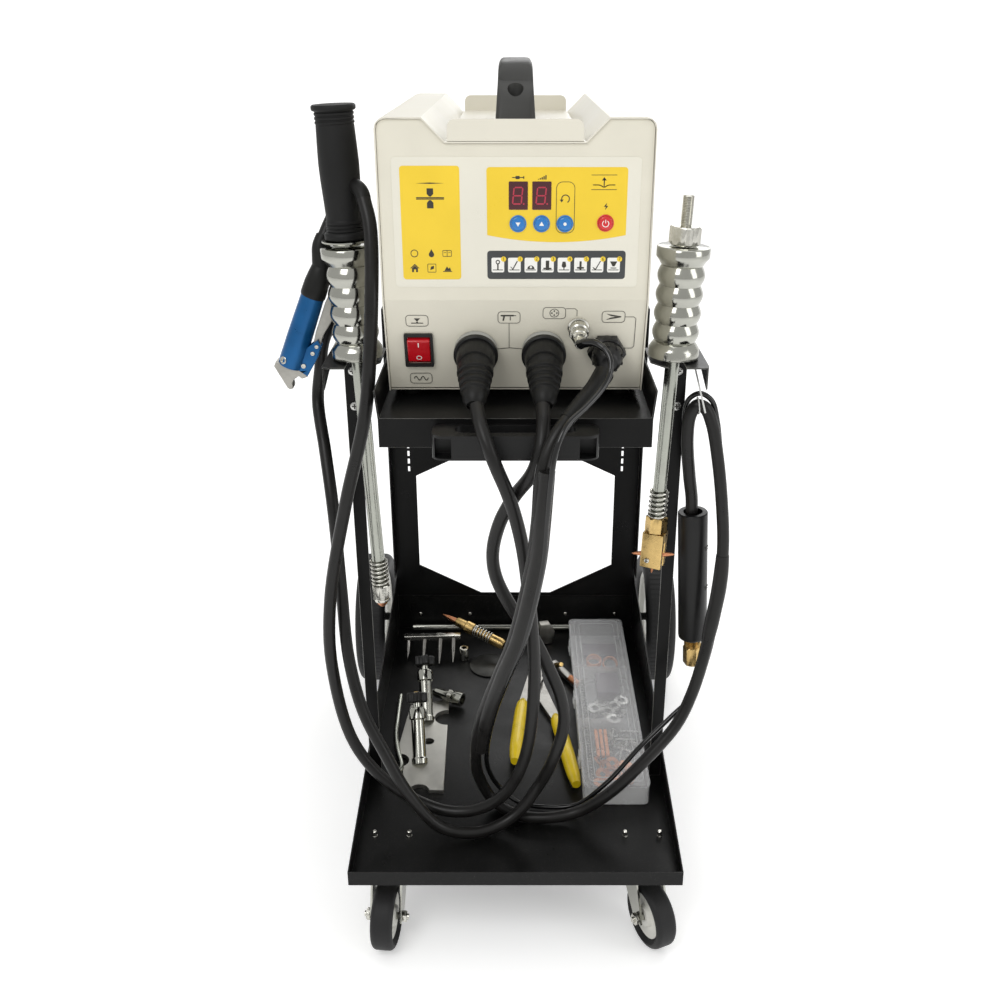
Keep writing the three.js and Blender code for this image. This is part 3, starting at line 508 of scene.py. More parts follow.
# ---------- cables ----------

PISTOL_ROUTE = [
    (-0.037, -0.275, 0.632), (-0.033, -0.292, 0.620), (-0.026, -0.305, 0.603), (-0.018, -0.310, 0.583),
    (-0.006, -0.306, 0.550), (0.006, -0.297, 0.498), (0.015, -0.286, 0.417), (0.020, -0.272, 0.315),
    (0.008, -0.256, 0.202), (-0.018, -0.248, 0.148), (-0.052, -0.244, 0.126), (-0.090, -0.238, 0.124),
    (-0.146, -0.222, 0.146), (-0.187, -0.211, 0.196), (-0.207, -0.207, 0.298), (-0.203, -0.209, 0.385),
    (-0.177, -0.216, 0.506), (-0.150, -0.222, 0.609), (-0.139, -0.216, 0.719), (-0.139, -0.198, 0.786),
    (-0.145, -0.187, 0.810),
]
PULLER_ROUTE = [
    (0.026, -0.275, 0.632), (0.026, -0.292, 0.620), (0.024, -0.306, 0.602), (0.017, -0.307, 0.578),
    (-0.002, -0.289, 0.543), (-0.016, -0.278, 0.510), (-0.023, -0.270, 0.474), (-0.020, -0.265, 0.444),
    (-0.004, -0.260, 0.405), (0.019, -0.252, 0.364), (0.035, -0.248, 0.326), (0.049, -0.246, 0.288),
    (0.054, -0.245, 0.252), (0.046, -0.247, 0.212), (0.026, -0.240, 0.158), (-0.002, -0.248, 0.122),
    (-0.041, -0.261, 0.110), (-0.084, -0.265, 0.119), (-0.121, -0.262, 0.165), (-0.147, -0.250, 0.212),
    (-0.171, -0.234, 0.258), (-0.187, -0.210, 0.312), (-0.194, -0.186, 0.384), (-0.198, -0.177, 0.477),
    (-0.208, -0.145, 0.535), (-0.219, -0.107, 0.582), (-0.214, -0.105, 0.618), (-0.209, -0.105, 0.646),
    (-0.199, -0.104, 0.670), (-0.190, -0.098, 0.698), (-0.184, -0.082, 0.735), (-0.181, -0.076, 0.768),
    (-0.180, -0.088, 0.794), (-0.181, -0.108, 0.801), (-0.183, -0.126, 0.790), (-0.190, -0.134, 0.775),
    (-0.198, -0.143, 0.757),
]
TORCH_ROUTE = [
    (0.084, -0.258, 0.658), (0.074, -0.276, 0.649), (0.060, -0.293, 0.639), (0.046, -0.309, 0.6275),
    (0.034, -0.320, 0.612), (0.025, -0.327, 0.588), (0.021, -0.325, 0.533), (0.016, -0.317, 0.484),
    (-0.002, -0.303, 0.391),
    (-0.017, -0.290, 0.342), (-0.036, -0.264, 0.272), (-0.045, -0.240, 0.211), (-0.043, -0.210, 0.148),
    (-0.025, -0.210, 0.112), (0.004, -0.232, 0.110), (0.035, -0.237, 0.110), (0.072, -0.234, 0.116),
    (0.108, -0.236, 0.144), (0.148, -0.230, 0.186),
    (0.184, -0.216, 0.225), (0.201, -0.205, 0.258), (0.212, -0.200, 0.301), (0.220, -0.192, 0.344),
    (0.227, -0.186, 0.393), (0.228, -0.182, 0.439), (0.223, -0.180, 0.490), (0.215, -0.178, 0.541),
    (0.206, -0.177, 0.580), (0.198, -0.176, 0.596), (0.190, -0.174, 0.598), (0.184, -0.171, 0.586),
    (0.183, -0.168, 0.560), (0.189, -0.162, 0.514), (0.1945, -0.157, 0.482), (0.1955, -0.1555, 0.450),
]
CONTROL_ROUTE = [
    (0.062, -0.250, 0.6845), (0.066, -0.257, 0.688), (0.074, -0.265, 0.690), (0.083, -0.273, 0.686),
    (0.088, -0.281, 0.677), (0.086, -0.290, 0.665), (0.077, -0.300, 0.6535), (0.064, -0.312, 0.643),
    (0.049, -0.324, 0.633), (0.041, -0.333, 0.622), (0.036, -0.338, 0.608), (0.033, -0.340, 0.590),
    (0.029, -0.338, 0.540),
    (0.026, -0.331, 0.492), (0.009, -0.317, 0.400), (-0.006, -0.304, 0.352), (-0.024, -0.275, 0.277),
    (-0.032, -0.250, 0.218), (-0.031, -0.212, 0.158), (-0.019, -0.200, 0.125), (0.004, -0.208, 0.109),
    (0.035, -0.213, 0.106), (0.072, -0.216, 0.112), (0.107, -0.223, 0.150),
    (0.144, -0.217, 0.196), (0.180, -0.203, 0.228), (0.206, -0.195, 0.254), (0.219, -0.190, 0.297),
    (0.227, -0.182, 0.340), (0.231, -0.177, 0.391), (0.233, -0.173, 0.437), (0.228, -0.171, 0.487),
    (0.220, -0.169, 0.539), (0.213, -0.170, 0.580), (0.205, -0.172, 0.603), (0.193, -0.170, 0.610),
    (0.183, -0.164, 0.602), (0.180, -0.157, 0.582), (0.185, -0.153, 0.548), (0.190, -0.151, 0.510),
    (0.196, -0.1485, 0.490), (0.199, -0.1465, 0.475),
]


def smooth_route(route, count=8):
    """A centripetal Catmull-Rom curve through the route, as in the CAD."""
    points = [Vector(p) for p in route]
    first, last = 2 * points[0] - points[1], 2 * points[-1] - points[-2]
    points = [first, *points, last]
    line = []
    for a, b, c, d in zip(points, points[1:], points[2:], points[3:]):
        t1 = (b - a).length ** 0.5
        t2 = t1 + (c - b).length ** 0.5
        t3 = t2 + (d - c).length ** 0.5
        for i in range(count):
            t = t1 + (t2 - t1) * i / count
            p1 = a * (t1 - t) / t1 + b * t / t1
            p2 = b * (t2 - t) / (t2 - t1) + c * (t - t1) / (t2 - t1)
            p3 = c * (t3 - t) / (t3 - t2) + d * (t - t2) / (t3 - t2)
            q1 = p1 * (t2 - t) / t2 + p2 * t / t2
            q2 = p2 * (t3 - t) / (t3 - t1) + p3 * (t - t1) / (t3 - t1)
            line.append(q1 * (t2 - t) / (t2 - t1) + q2 * (t - t1) / (t2 - t1))
    return [*line, points[-2]]


def cable(name, node, route, radius, look):
    line = smooth_route(route)
    curve = curve_data([line], False)
    curve.dimensions = "3D"
    curve.bevel_depth = radius * MM
    curve.bevel_resolution = 4
    curve.use_fill_caps = True
    obj = bpy.data.objects.new(name, curve)
    scene.collection.objects.link(obj)
    material, slot = FINISHES[look]
    curve.materials.append(material)
    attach(obj, "machine")
    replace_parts(obj, node)


def cables():
    for name, route in (("pistol", PISTOL_ROUTE), ("puller", PULLER_ROUTE), ("torch", TORCH_ROUTE)):
        cable(f"{name}_lead", f"{name}_cable", route, 6.8, "cable")
    cable("control_lead", "control_cable", CONTROL_ROUTE, 2.8, "cable_gloss")


# ---------- cabinet ----------

PANEL_Y = box_mm("front_panel")[0].y
FOLD_Z = 720.0
LEAN = math.degrees(math.atan2(24, 98))
# How far below the fold the rocker, the weld sockets and the gland stand.
SOCKET_DROP = 54.0
# The height of the print over the front panel, and of each layer over the one below.
PRINT = 0.46
LAYER = 0.11


def on_panel(x=0.0, z=0.0, out=0.0):
    """A place on the upright front: X right, Y up and Z outward."""
    return at(x, PANEL_Y - out, z, rx=90)


def on_print(x=0.0, z=0.0, layer=0):
    return on_panel(x, z, PRINT + LAYER * layer)


def on_slope(x=0.0, drop=0.0, out=0.0):
    """A place on the leaning lower front, a drop below the fold."""
    return at(0, PANEL_Y, FOLD_Z, rx=90 + LEAN) @ at(x, -drop, out)


def printed(*loops):
    """A thin printed shape: its outline, then its holes."""
    return plate(list(loops), 0, 0.1)


def ring_part(y, radius, bore, start, stop, count):
    """The outline of a part of a flat ring."""
    return [*arc(0, y, radius, start, stop, count), *reversed(arc(0, y, bore, start, stop, count))]


def frame_line(x0, x1, y0, y1, radius, width):
    inner = rounded(x0 + width, x1 - width, y0 + width, y1 - width, max(radius - width, 0.3))
    return plate([rounded(x0, x1, y0, y1, radius), inner], 0, 0.12)


def stroke(points, width):
    """A printed line: each stretch is a thin bar, and its ends are round."""
    bars = []
    half = width / 2
    for (x0, y0), (x1, y1) in zip(points, points[1:]):
        length = math.hypot(x1 - x0, y1 - y0)
        bar = plate([rounded(-half, length + half, -half, half, half - 0.01, 3)], 0, 0.12)
        bars.append(moved(bar, at(x0, y0, 0, rz=math.degrees(math.atan2(y1 - y0, x1 - x0)))))
    return joined(*bars)


def carry_handle():
    """A moulded arch: a rounded section swept over the same path as the CAD's."""
    low, high = box_mm("carry_handle")
    y0, y1, z0, z1 = low.y, high.y, low.z, high.z
    path = [(y0 + 15, z0, 0), (y0 + 16.5, z0 + 14, 5), (y0 + 21, z0 + 32, 14), (y0 + 30, z0 + 45, 36),
            (y0 + 44, z1 - 9, 62), (y0 + 62, z1 - 7.4, 84), (y0 + 90, z1 - 7, 90)]
    middle = (y0 + y1) / 2
    path += [(2 * middle - y, z, 180 - tilt) for y, z, tilt in reversed(path)]
    bm = bmesh.new()
    rings = []
    for y, z, tilt in path:
        rise = (z - z0) / (z1 - z0)
        half_width = 20.3 - 3.3 * min(rise * 1.3, 1)
        half_thick = 13.5 - 6.5 * min(rise * 1.15, 1)
        turn = at(0, y, z, rx=tilt - 90) @ at(rx=90)
        section = rounded(-half_width, half_width, -half_thick, half_thick, min(6, half_thick * 0.75), 4)
        rings.append([bm.verts.new(turn @ Vector((u, v, 0))) for u, v in section])
    for a, b in zip(rings, rings[1:]):
        for i in range(len(a)):
            j = (i + 1) % len(a)
            bm.faces.new((a[i], a[j], b[j], b[i]))
    bm.faces.new(rings[0][::-1])
    bm.faces.new(rings[-1])
    bmesh.ops.recalc_face_normals(bm, faces=bm.faces)
    grip = piece("handle_arch", mesh_of(bm), "handle", subdivide=2, angle=60)
    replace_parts(grip, "carry_handle")
    for y in (y0 + 22.5, y1 - 22.5):
        carve(grip, turned([(0, z0 + 16), (7.8, z0 + 16), (7.8, z1 + 10), (0, z1 + 10)], 40), at(y=y))


def overlay():
    """The printed sheet on the front, with its yellow fields and its grey strip."""
    base = plate([rounded(-114, 115.5, 732.6, 851.8, 4)], 0.05, 0.3, 0.08)
    piece("overlay", base, "overlay", place=on_panel())
    bow = [i / 16 for i in range(17)]
    lower_edge = [(103.3 - 129.8 * t, 781.5 - 6.5 * 4 * t * (1 - t)) for t in bow]
    control = [*arc(100.3, 839.8, 3, 0, 90, 5), *arc(-23.7, 839.8, 3, 90, 180, 5), *reversed(lower_edge)]
    fields = (("maker_panel", rounded(-106.6, -51.6, 740, 844, 3), "yellow"),
              ("control_panel", control, "yellow"),
              ("tool_strip", rounded(-26.7, 104, 740.3, 767, 3), "ink_grey"))
    for name, outline, look in fields:
        piece(name, plate([outline], 0.32, 0.45), look, place=on_panel())


def spot_mark():
    """Two electrodes with two sheets between them, under a thin rule."""
    tip = [(-3, 9), (3, 9), (3, 4), (0.8, 1.6), (-0.8, 1.6), (-3, 4)]
    sheets = [printed(rounded(-13, 13, y, y + 0.9, 0.4)) for y in (0.15, -1.05)]
    mark = joined(printed(tip), moved(printed(tip), at(rz=180)), *sheets)
    piece("spot_mark", mark, "ink", place=on_print(-79, 815))
    rule = printed([(-13, 0), (0, 0.7), (13, 0), (0, -0.5)])
    piece("mark_rule", rule, "ink", place=on_print(-79, 828.5))


def small_signs():
    """Six pictograms in two rows."""
    roof = [(-4.4, 0), (0, 4.2), (4.4, 0), (3.2, 0), (0, 2.9), (-3.2, 0)]
    walls = [(-2.8, 0), (0, 2.5), (2.8, 0), (2.8, -3.6), (1, -3.6), (1, -1), (-1, -1), (-1, -3.6),
             (-2.8, -3.6)]
    book = [frame_line(-4.3, 4.3, -3, 3, 0.8, 0.5), stroke([(0, -2.6), (0, 2.6)], 0.5),
            stroke([(-3, 0.8), (-1.2, 0.8)], 0.4), stroke([(1.2, 0.8), (3, 0.8)], 0.4)]
    leaf = [frame_line(-4.1, 4.1, -4.1, 4.1, 0.8, 0.5),
            printed([(-1.6, -1.8), (1.9, -0.6), (2, 2.2), (-0.8, 1.4)])]
    peaks = [(-3, -2.4), (-0.6, 1.8), (1, -0.4), (2.2, 1), (3.4, -2.4)]
    signs = (("ring", [printed(circle(3.6), circle(2.9)[::-1])], -95.4, 764.5),
             ("drop", [printed([*arc(0, -1.1, 2.5, 150, 390, 14), (0, 4)])], -79.3, 764.5),
             ("book", book, -64.5, 764.5),
             ("house", [printed(roof), printed(walls)], -95.4, 750.5),
             ("leaf", leaf, -79.3, 750.7),
             ("pile", [stroke([(-4, -3), (4, -3)], 0.7), printed(peaks)], -64.4, 750.5))
    for name, parts, x, z in signs:
        piece(f"sign_{name}", joined(*parts), "ink", place=on_print(x, z))


def digit_segments():
    """The seven bars of an eight, leaning a little, and its point."""
    half, tall, thick = 4.0, 7.4, 1.25
    bars = []
    for y in (-tall, 0, tall):
        bars.append(stroke([(-half + 1.1 + y * 0.1, y), (half - 1.1 + y * 0.1, y)], thick))
    for x in (-half, half):
        for y0, y1 in ((-tall + 1, -1), (1, tall - 1)):
            bars.append(stroke([(x + y0 * 0.1, y0), (x + y1 * 0.1, y1)], thick))
    bars.append(moved(turned([(0, 0), (0.8, 0), (0.8, 0.12), (0, 0.12)], 12), at(half + 1.6, -tall, 0)))
    return joined(*bars)


def display():
    """Two windows with a lit digit in each, and the signs round them."""
    for name, x in (("tool", 2.6), ("level", 24.3)):
        window = plate([rounded(-8.8, 8.8, -12.7, 12.7, 0.8)], 0, 0.35, 0.1)
        piece(f"{name}_window", window, "display", place=on_panel(x, 817.4, 0.45))
        piece(f"{name}_digit", digit_segments(), "digit", place=on_panel(x - 0.6, 817.4, 0.8))
    bars = [printed([(x, 0), (x + 1.1, 0), (x + 1.1, h), (x, h)]) for x, h in
            ((-4, 0.6), (-2.3, 1.3), (-0.6, 2.1), (1.1, 3.0), (2.8, 4.0))]
    piece("level_bars", joined(*bars), "ink", place=on_print(24.6, 831.8))
    hammer = [stroke([(-5.5, 1.4), (5, 1.4)], 0.7), printed(rounded(-2.6, 1.2, 0, 2.8, 0.5)),
              stroke([(5, 0.4), (5, 2.4)], 0.8)]
    piece("tool_sign", joined(*hammer), "ink", place=on_print(2.6, 832.2))
    piece("select_frame", frame_line(37.6, 55, 783.2, 830, 6, 0.5), "ink", place=on_print())
    arrow = printed([(-5.4, -0.6), (-1.8, -0.6), (-3.6, -3.2)])
    loop = joined(printed(ring_part(0, 4, 3.1, -60, 200, 20)), arrow)
    piece("select_sign", loop, "ink", place=on_print(46.3, 814.5))


def steel_sign():
    """A dented sheet with a pull arrow between two rules, over a lightning bolt."""
    for z in (835.6, 822.6):
        rule = printed(rounded(69.8, 93.4, z, z + 0.5, 0.2))
        piece(f"rule_{int(z)}", rule, "ink", place=on_print())
    dent = [(-10 + i, -2.4 - 2 * math.exp(-((i - 10) / 2.6) ** 2)) for i in range(21)]
    arrow = [stroke([(0, -3.4), (0, 2.4)], 0.9), plate([[(-2.2, 1.6), (2.2, 1.6), (0, 4.6)]], 0, 0.12)]
    piece("dent_sign", joined(stroke(dent, 0.8), *arrow), "ink", place=on_print(81.6, 829.4))
    bolt = [(0.8, 3.2), (-2, -0.4), (-0.2, -0.4), (-0.8, -3.2), (2, 0.4), (0.2, 0.4)]
    piece("power_sign", printed(bolt), "ink", place=on_print(84, 807.8))


def button(name, look, body, mark):
    node = "power_button" if name == "power" else f"button_{name}"
    low, high = box_mm(node)
    x, z = (low.x + high.x) / 2, (low.z + high.z) / 2
    proud = PANEL_Y - low.y
    radius = (high.x - low.x) / 2
    cap = turned([(0, -2), (radius - 0.1, -2), (radius - 0.1, proud - 1.1), (radius - 0.5, proud - 0.45),
                  (radius - 1.3, proud - 0.1), (radius * 0.5, proud), (0, proud)], 48)
    dome = piece(f"{name}_cap", cap, look, body, on_panel(x, z))
    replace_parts(dome, node)
    bezel = ring(radius + 0.1, [(radius + 1.3, 0.46), (radius + 1.2, 1.1), (radius + 0.5, 1.5)], 48)
    piece(f"{name}_bezel", bezel, look, place=on_panel(x, z))
    piece(f"{name}_mark", mark, "white_ink", body, on_panel(x, z, proud))


def control_buttons():
    triangle = [(-2.3, 1.5), (2.3, 1.5), (0, -2.3)]
    button("down", "blue", "down_key", plate([triangle], 0, 0.12))
    button("up", "blue", "up_key", moved(plate([triangle], 0, 0.12), at(rz=180)))
    button("select", "blue", "select_key", plate([circle(1.5)], 0, 0.12))
    symbol = joined(plate([ring_part(-0.2, 3.3, 2.6, 125, 415, 24)], 0, 0.12),
                    stroke([(0, 0.4), (0, 3.2)], 0.7))
    button("power", "red", "power_key", symbol)


def tool_signs():
    """Eight white tiles, each with a pictogram of a pulling tool and a numbered badge."""
    ground = stroke([(-4.6, -4.4), (4.6, -4.4)], 0.7)
    signs = [
        [printed(circle(2.1, 0, 3), circle(1.2, 0, 3)[::-1]), stroke([(0, 1), (0, -4)], 1.3)],
        [stroke([(-1.6, -4), (2.6, 3.6)], 1.0), stroke([(-3.4, -1.6), (-1.8, -3.4)], 0.6)],
        [printed(arc(0, -3.6, 3.4, 0, 180, 16), circle(1.1, 0, -1.8)[::-1])],
        [printed(rounded(-1.6, 1.6, -4, 4.4, 0.4)), stroke([(-3.2, -3), (3.2, -3)], 1.4)],
        [printed([*arc(0, 0, 2.3, 200, 340, 10), (1.4, 3.4), (-1.4, 3.4)]), stroke([(0, -4), (0, 0)], 0.9)],
        [printed(rounded(-1.0, 1.0, -4, 3.8, 0.4)), stroke([(-2.6, -2.4), (2.6, -2.4)], 1.6)],
        [stroke([(-1.4, -4), (3, 3.6)], 0.9), stroke([(-3.6, -2.2), (-1.6, -3.8)], 0.9)],
        [printed([(-3.4, 3.6), (3.4, 3.6), (1, -1), (-1, -1)]), stroke([(-2.4, -2.6), (2.4, -2.6)], 0.8)],
    ]
    tiles, marks, badges, numbers = [], [], [], []
    for i, sign in enumerate(signs):
        x = -16.7 + i * 15.66
        corner = at(x + 5.4, 759.2)
        tiles.append(moved(printed(rounded(-6, 6, -6.9, 6.9, 1.4)), at(x, 753.6)))
        marks.append(moved(joined(*sign, ground.copy()), at(x, 753.4)))
        badges.append(moved(printed(circle(2.5, 0, 0, 20)), corner))
        numbers.append(moved(digit(max(i, 1), 3.2), corner))
    piece("sign_tiles", joined(*tiles), "white_ink", place=on_print())
    piece("sign_marks", joined(*marks), "ink", place=on_print(layer=1))
    piece("sign_badges", joined(*badges), "yellow", place=on_print(layer=1))
    piece("sign_numbers", joined(*numbers), "ink", place=on_print(layer=2))


def digit(number, height):
    text = bpy.data.curves.new("digit", "FONT")
    text.body = str(number)
    text.size = height * 1.4
    text.align_x = "CENTER"
    text.align_y = "CENTER"
    return moved(curve_to_mesh(text), at(z=0.02))


def rocker():
    """The switch's lens, swept across from its profile, with its two marks."""
    place = on_slope(-95.5, SOCKET_DROP)
    dress("rocker_bezel", "plastic", 0.4)
    low, high = -13.2, 13.2
    profile = [(-3.2, low), (3.2, low + 0.6), (5.2, -6), (5.7, 0), (6.9, 8), (7.6, high - 1), (5.8, high),
               (-3.2, high)]
    bm = bmesh.new()
    sides = [[bm.verts.new((x, y, z)) for z, y in profile] for x in (-11, 11)]
    bm.faces.new(sides[0])
    bm.faces.new(sides[1][::-1])
    for i in range(len(profile)):
        j = (i + 1) % len(profile)
        bm.faces.new((sides[0][j], sides[0][i], sides[1][i], sides[1][j]))
    bmesh.ops.recalc_face_normals(bm, faces=bm.faces)
    lens = piece("rocker_lens", mesh_of(bm), "rocker_red", "rocker", place @ at(z=-1.2), bevel=0.7)
    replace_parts(lens, "rocker_switch")
    piece("rocker_on", printed(rounded(-0.5, 0.5, -2.7, 2.7, 0.4)), "white_ink", "rocker",
          place @ at(0, 8, 5.75, rx=6.5))
    piece("rocker_off", printed(circle(2.8), circle(2.0)[::-1]), "white_ink", "rocker",
          place @ at(0, -7.0, 4.0, rx=15.5))


def slope_signs():
    """Framed signs for the switch and the sockets, and the lines that lead from them."""
    lines = [
        frame_line(-107, -84.8, -28.4, -16, 3.6, 0.5), frame_line(-106.4, -84, -93, -80.8, 3.6, 0.5),
        frame_line(-17.3, 4.7, -25, -12.2, 3.6, 0.5), frame_line(26.4, 48.8, -20.2, -7.6, 3.6, 0.5),
        frame_line(83.8, 106.5, -24.2, -11.6, 3.6, 0.5),
        stroke([(-6.3, -25), (-6.3, -52), (-18, -53.2)], 0.5), stroke([(-6.3, -52), (7, -53.2)], 0.5),
        stroke([(48.8, -9.2), (57.5, -9.2), (59.6, -11), (59.6, -17)], 0.5),
        stroke([(106.5, -18), (115, -18), (117, -20), (117, -50), (115, -52.4), (108, -52.4)], 0.5),
    ]
    piece("slope_lines", joined(*lines), "ink", place=on_slope(out=0.02))
    hand = joined(printed([(-3, 2.6), (3, 2.6), (0, -1)]), stroke([(-5.5, -2.6), (5.5, -2.6)], 0.9),
                  printed(circle(0.9, 0, -1.9, 12)))
    piece("manual_sign", hand, "ink", place=on_slope(-95.9, 22.2, 0.02))
    wave = [(-7 + i * 0.7, 2.2 * math.sin(i * math.pi / 5)) for i in range(21)]
    piece("induction_sign", stroke(wave, 0.8), "ink", place=on_slope(-95.2, 86.9, 0.02))
    gun = joined(stroke([(-7.5, 2), (4, 2)], 1.5), stroke([(4, 2), (6.6, 2)], 0.7),
                    stroke([(-4.6, 2), (-5.6, -3)], 1.5), stroke([(1.2, 0.6), (1.2, -2.8)], 0.8))
    piece("pistol_sign", gun, "ink", place=on_slope(-6.3, 18.6, 0.02))
    pins = [printed(circle(0.8, x, y, 12)) for x, y in ((-2.4, 0), (2.4, 0), (0, 2.2), (0, -2.2))]
    piece("control_sign", joined(printed(circle(4.6), circle(4)[::-1]), *pins), "ink",
          place=on_slope(37.6, 13.9, 0.02))
    jaw = [(-7, 3.2), (2, 1.6), (7.5, 0.5), (7.5, 0), (1, 0.2), (-3, 1)]
    clamp = joined(printed(jaw), printed([(x, -y) for x, y in reversed(jaw)]))
    piece("clamp_sign", clamp, "ink", place=on_slope(95.2, 17.9, 0.02))


def weld_socket(name, x):
    """A socket's ring, with a ribbed plug in it and the stepped boot of its cable."""
    place = on_slope(x, SOCKET_DROP, 0.3)
    collar = ring(13.2, [(20.8, 0), (21.4, 1), (21.4, 4.6), (20.6, 7), (19.2, 8)], 56)
    socket = piece(f"{name}_socket_ring", collar, "socket_grey", place=place)
    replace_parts(socket, f"weld_socket_{name}")
    band = ring(15, [(21.2, 7.8), (21.9, 8.6), (21.9, 12.6), (20.6, 13.6)], 56)
    piece(f"{name}_plug_band", band, "plastic", place=place)
    body = turned([(0, 8), (18.8, 8), (19.2, 13), (18.9, 20), (18.2, 30), (17.2, 33), (0, 33)], 48)
    ribs = []
    for turn in (120, 160, 200, 240):
        rib = plate([rounded(-1.2, 1.2, -1.2, 0.9, 0.6, 3)], 13, 30, 0.3)
        ribs.append(moved(rib, at(rz=turn) @ at(0, 18.6, 0)))
    plug = piece(f"{name}_plug_body", joined(body, *ribs), "rubber", place=place)
    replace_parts(plug, f"weld_plug_{name}")
    profile = [(0, -8), (15.5, -4), (17.6, 2), (17.8, 9)]
    for i in range(4):
        z, r = 12 + i * 7, 17.4 - i * 1.25
        profile += [(r, z), (r + 0.5, z + 1), (r + 0.3, z + 3.4), (r - 1.3, z + 4.4), (r - 1.6, z + 5.8)]
    profile += [(12.2, 41), (11.6, 46), (9.2, 51), (7.6, 53), (7.4, 50), (0, 50)]
    hanging = place @ at(z=24) @ at(rx=35 - LEAN)
    piece(f"{name}_plug_boot", turned(profile, 48), "rubber", place=hanging)


def control_connector():
    """A threaded flange, and a plug with a knurled nut and a screwed cable saddle."""
    place = on_slope(61.4, 29, 0.3)
    thread = [(10, 0), (10.6, 0.8), (10.6, 2.2), (9, 2.9)]
    base = piece("control_flange", ring(6.6, thread, 48), "bright", place=place)
    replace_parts(base, "control_socket")
    nut = [turned([(0, 5.4), (9.4, 5.4), (9.6, 6.4), (9.6, 12), (8.6, 13.2), (0, 13.2)], 48)]
    for i in range(24):
        knurl = plate([rounded(-0.35, 0.35, -0.4, 0.3, 0.2, 2)], 6.4, 12)
        nut.append(moved(knurl, at(rz=15 * i) @ at(0, 9.6, 0)))
    shell = turned([(0, 13), (7.4, 13), (7.6, 14), (7.6, 20), (6.8, 21), (6.2, 22), (6.2, 27), (5.4, 28.4),
                    (5.2, 34), (0, 34)], 40)
    saddle = moved(plate([rounded(-6.4, 6.4, -2, 2, 0.8, 3)], 0, 1.6, 0.3), at(0, 5.6, 26))
    screws = [moved(cross_screw(1.7, 1.3), at(x, 5.6, 27.6)) for x in (4.2, -4.2)]
    plug = piece("control_plug_shell", joined(*nut, shell, saddle, *screws), "bright", place=place)
    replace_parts(plug, "control_plug")


def gland():
    """A hexagonal base under a fluted dome."""
    place = on_slope(90, SOCKET_DROP)
    nut = piece("gland_nut", hex_nut(33, 0.3, 11.5, turn=30), "moulded", place=place, angle=25)
    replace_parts(nut, "cable_gland")
    parts = [turned([(0, 11), (15.2, 11.5), (15.6, 13), (15.3, 17), (13.8, 22), (11.6, 26.5), (9.4, 29.5),
                     (7.4, 30.2), (0, 30.2)], 48)]
    for i in range(10):
        flute = plate([rounded(-1.3, 1.3, -0.8, 0.6, 0.5, 2)], 12.5, 21, 0.2)
        parts.append(moved(flute, at(rz=36 * i) @ at(0, 15, 0)))
    piece("gland_cap", joined(*parts), "moulded", place=place)


def cabinet():
    """The finishes of the sheet metal, and of what is inside."""
    dress("cabinet_cover", "cream", 0.3, "cream_edge")
    dress("front_panel", "cream_shade", 0.2)
    dress("base_pan", "cream_shade", 0.3)
    dress("rear_panel", "cream_shade", 0.3)
    dress("handle_plate", "cream", 0.3, "cream_edge")
    dress("control_board", "board")
    dress("transformer_core", "core", 0.6)
    dress("transformer_coil", "winding", 2.0)
    dress("fan_housing", "moulded", 0.5)
    dress("fan_rotor", "moulded", 0.4)
    dress("mains_inlet", "moulded", 0.5)


# ---------- trolley ----------


def trolley():
    """The sheet-metal nodes, and the screws, rivets, studs and foot sleeves on them."""
    # The bevels of the black sheet metal take the lighter edge finish: partly wear, partly painted highlight.
    for node in ("upper_shelf", "rear_frame", "front_post_left", "front_post_right",
                 "hammer_bracket_left", "hammer_bracket_right"):
        dress(node, "black", 0.4, "black_edge_wear_and_highlight")
    dress("lower_tray", "tray_black", 0.4, "black_edge_wear_and_highlight")
    dress("push_handle", "plastic", 1.2)
    dress("rear_axle", "black", 0.5, "black_edge_wear_and_highlight")
    for x in (-172, 172):
        for z in (628, 589):
            screw_at(f"post_screw_{x}_{z}", 5.2, 3.0, at(x, -148, z, rx=90))
    for x in (-147.5, -70.9, 77.4, 153.9):
        head = turned([(0, 0), (2.9, 0), (2.7, 0.9), (1.6, 1.7), (0, 2)], 24)
        piece(f"tray_rivet_{x}", head, "bright", place=at(x, 216, 126, rx=90))
    for x in (-163, -123, 127, 167):
        for y, reach in ((-258, 7.6), (-322, 2.2)):
            profile = [(0, 0), (3, 0), (3, 0.8), (2.6, 1), (2.6, reach - 0.8), (1.8, reach), (0, reach)]
            piece(f"caster_stud_{x}_{-y}", turned(profile, 20), "bright", place=at(x, y, 101.6), angle=40)
    for x in (-108.2, 108.2):
        for y in (-172, 140):
            sleeve = ring(7, [(9.6, 612.4), (10.2, 613.4), (9.8, 621.2)], 32)
            piece(f"foot_sleeve_{x}_{y}", sleeve, "rubber", place=at(x, y, 0))


def screw_at(name, radius, height, place, look="zinc", body="machine"):
    """A pan-head screw, with a dark cross of painted shade in place of its recess."""
    piece(name, cross_screw(radius, height), look, body, place)
    # The dark cross is painted shade that stands in for the recess.
    piece(f"{name}_recess", cross_recess(radius, height), "ink", body, place)


# ---------- wheels ----------

REAR_WHEEL = {"x": 220, "y": 253, "z": 100}
CASTER = {"x": 143, "y": -287, "z": 37.5, "trail": 28}


def tyre_profile(radius, bead, half, crown):
    """One side of a tyre in [radius, distance across], from its bead out over the tread."""
    shoulder = [(radius - crown + crown * math.cos(a), half - crown + crown * math.sin(a))
                for a in [math.pi / 2 - math.pi / 2 * i / 8 for i in range(9)]]
    upper = [(bead, half - 6), (bead + 3, half - 3), *shoulder]
    return [(r, -z) for r, z in upper], [(r, z) for r, z in reversed(upper)]


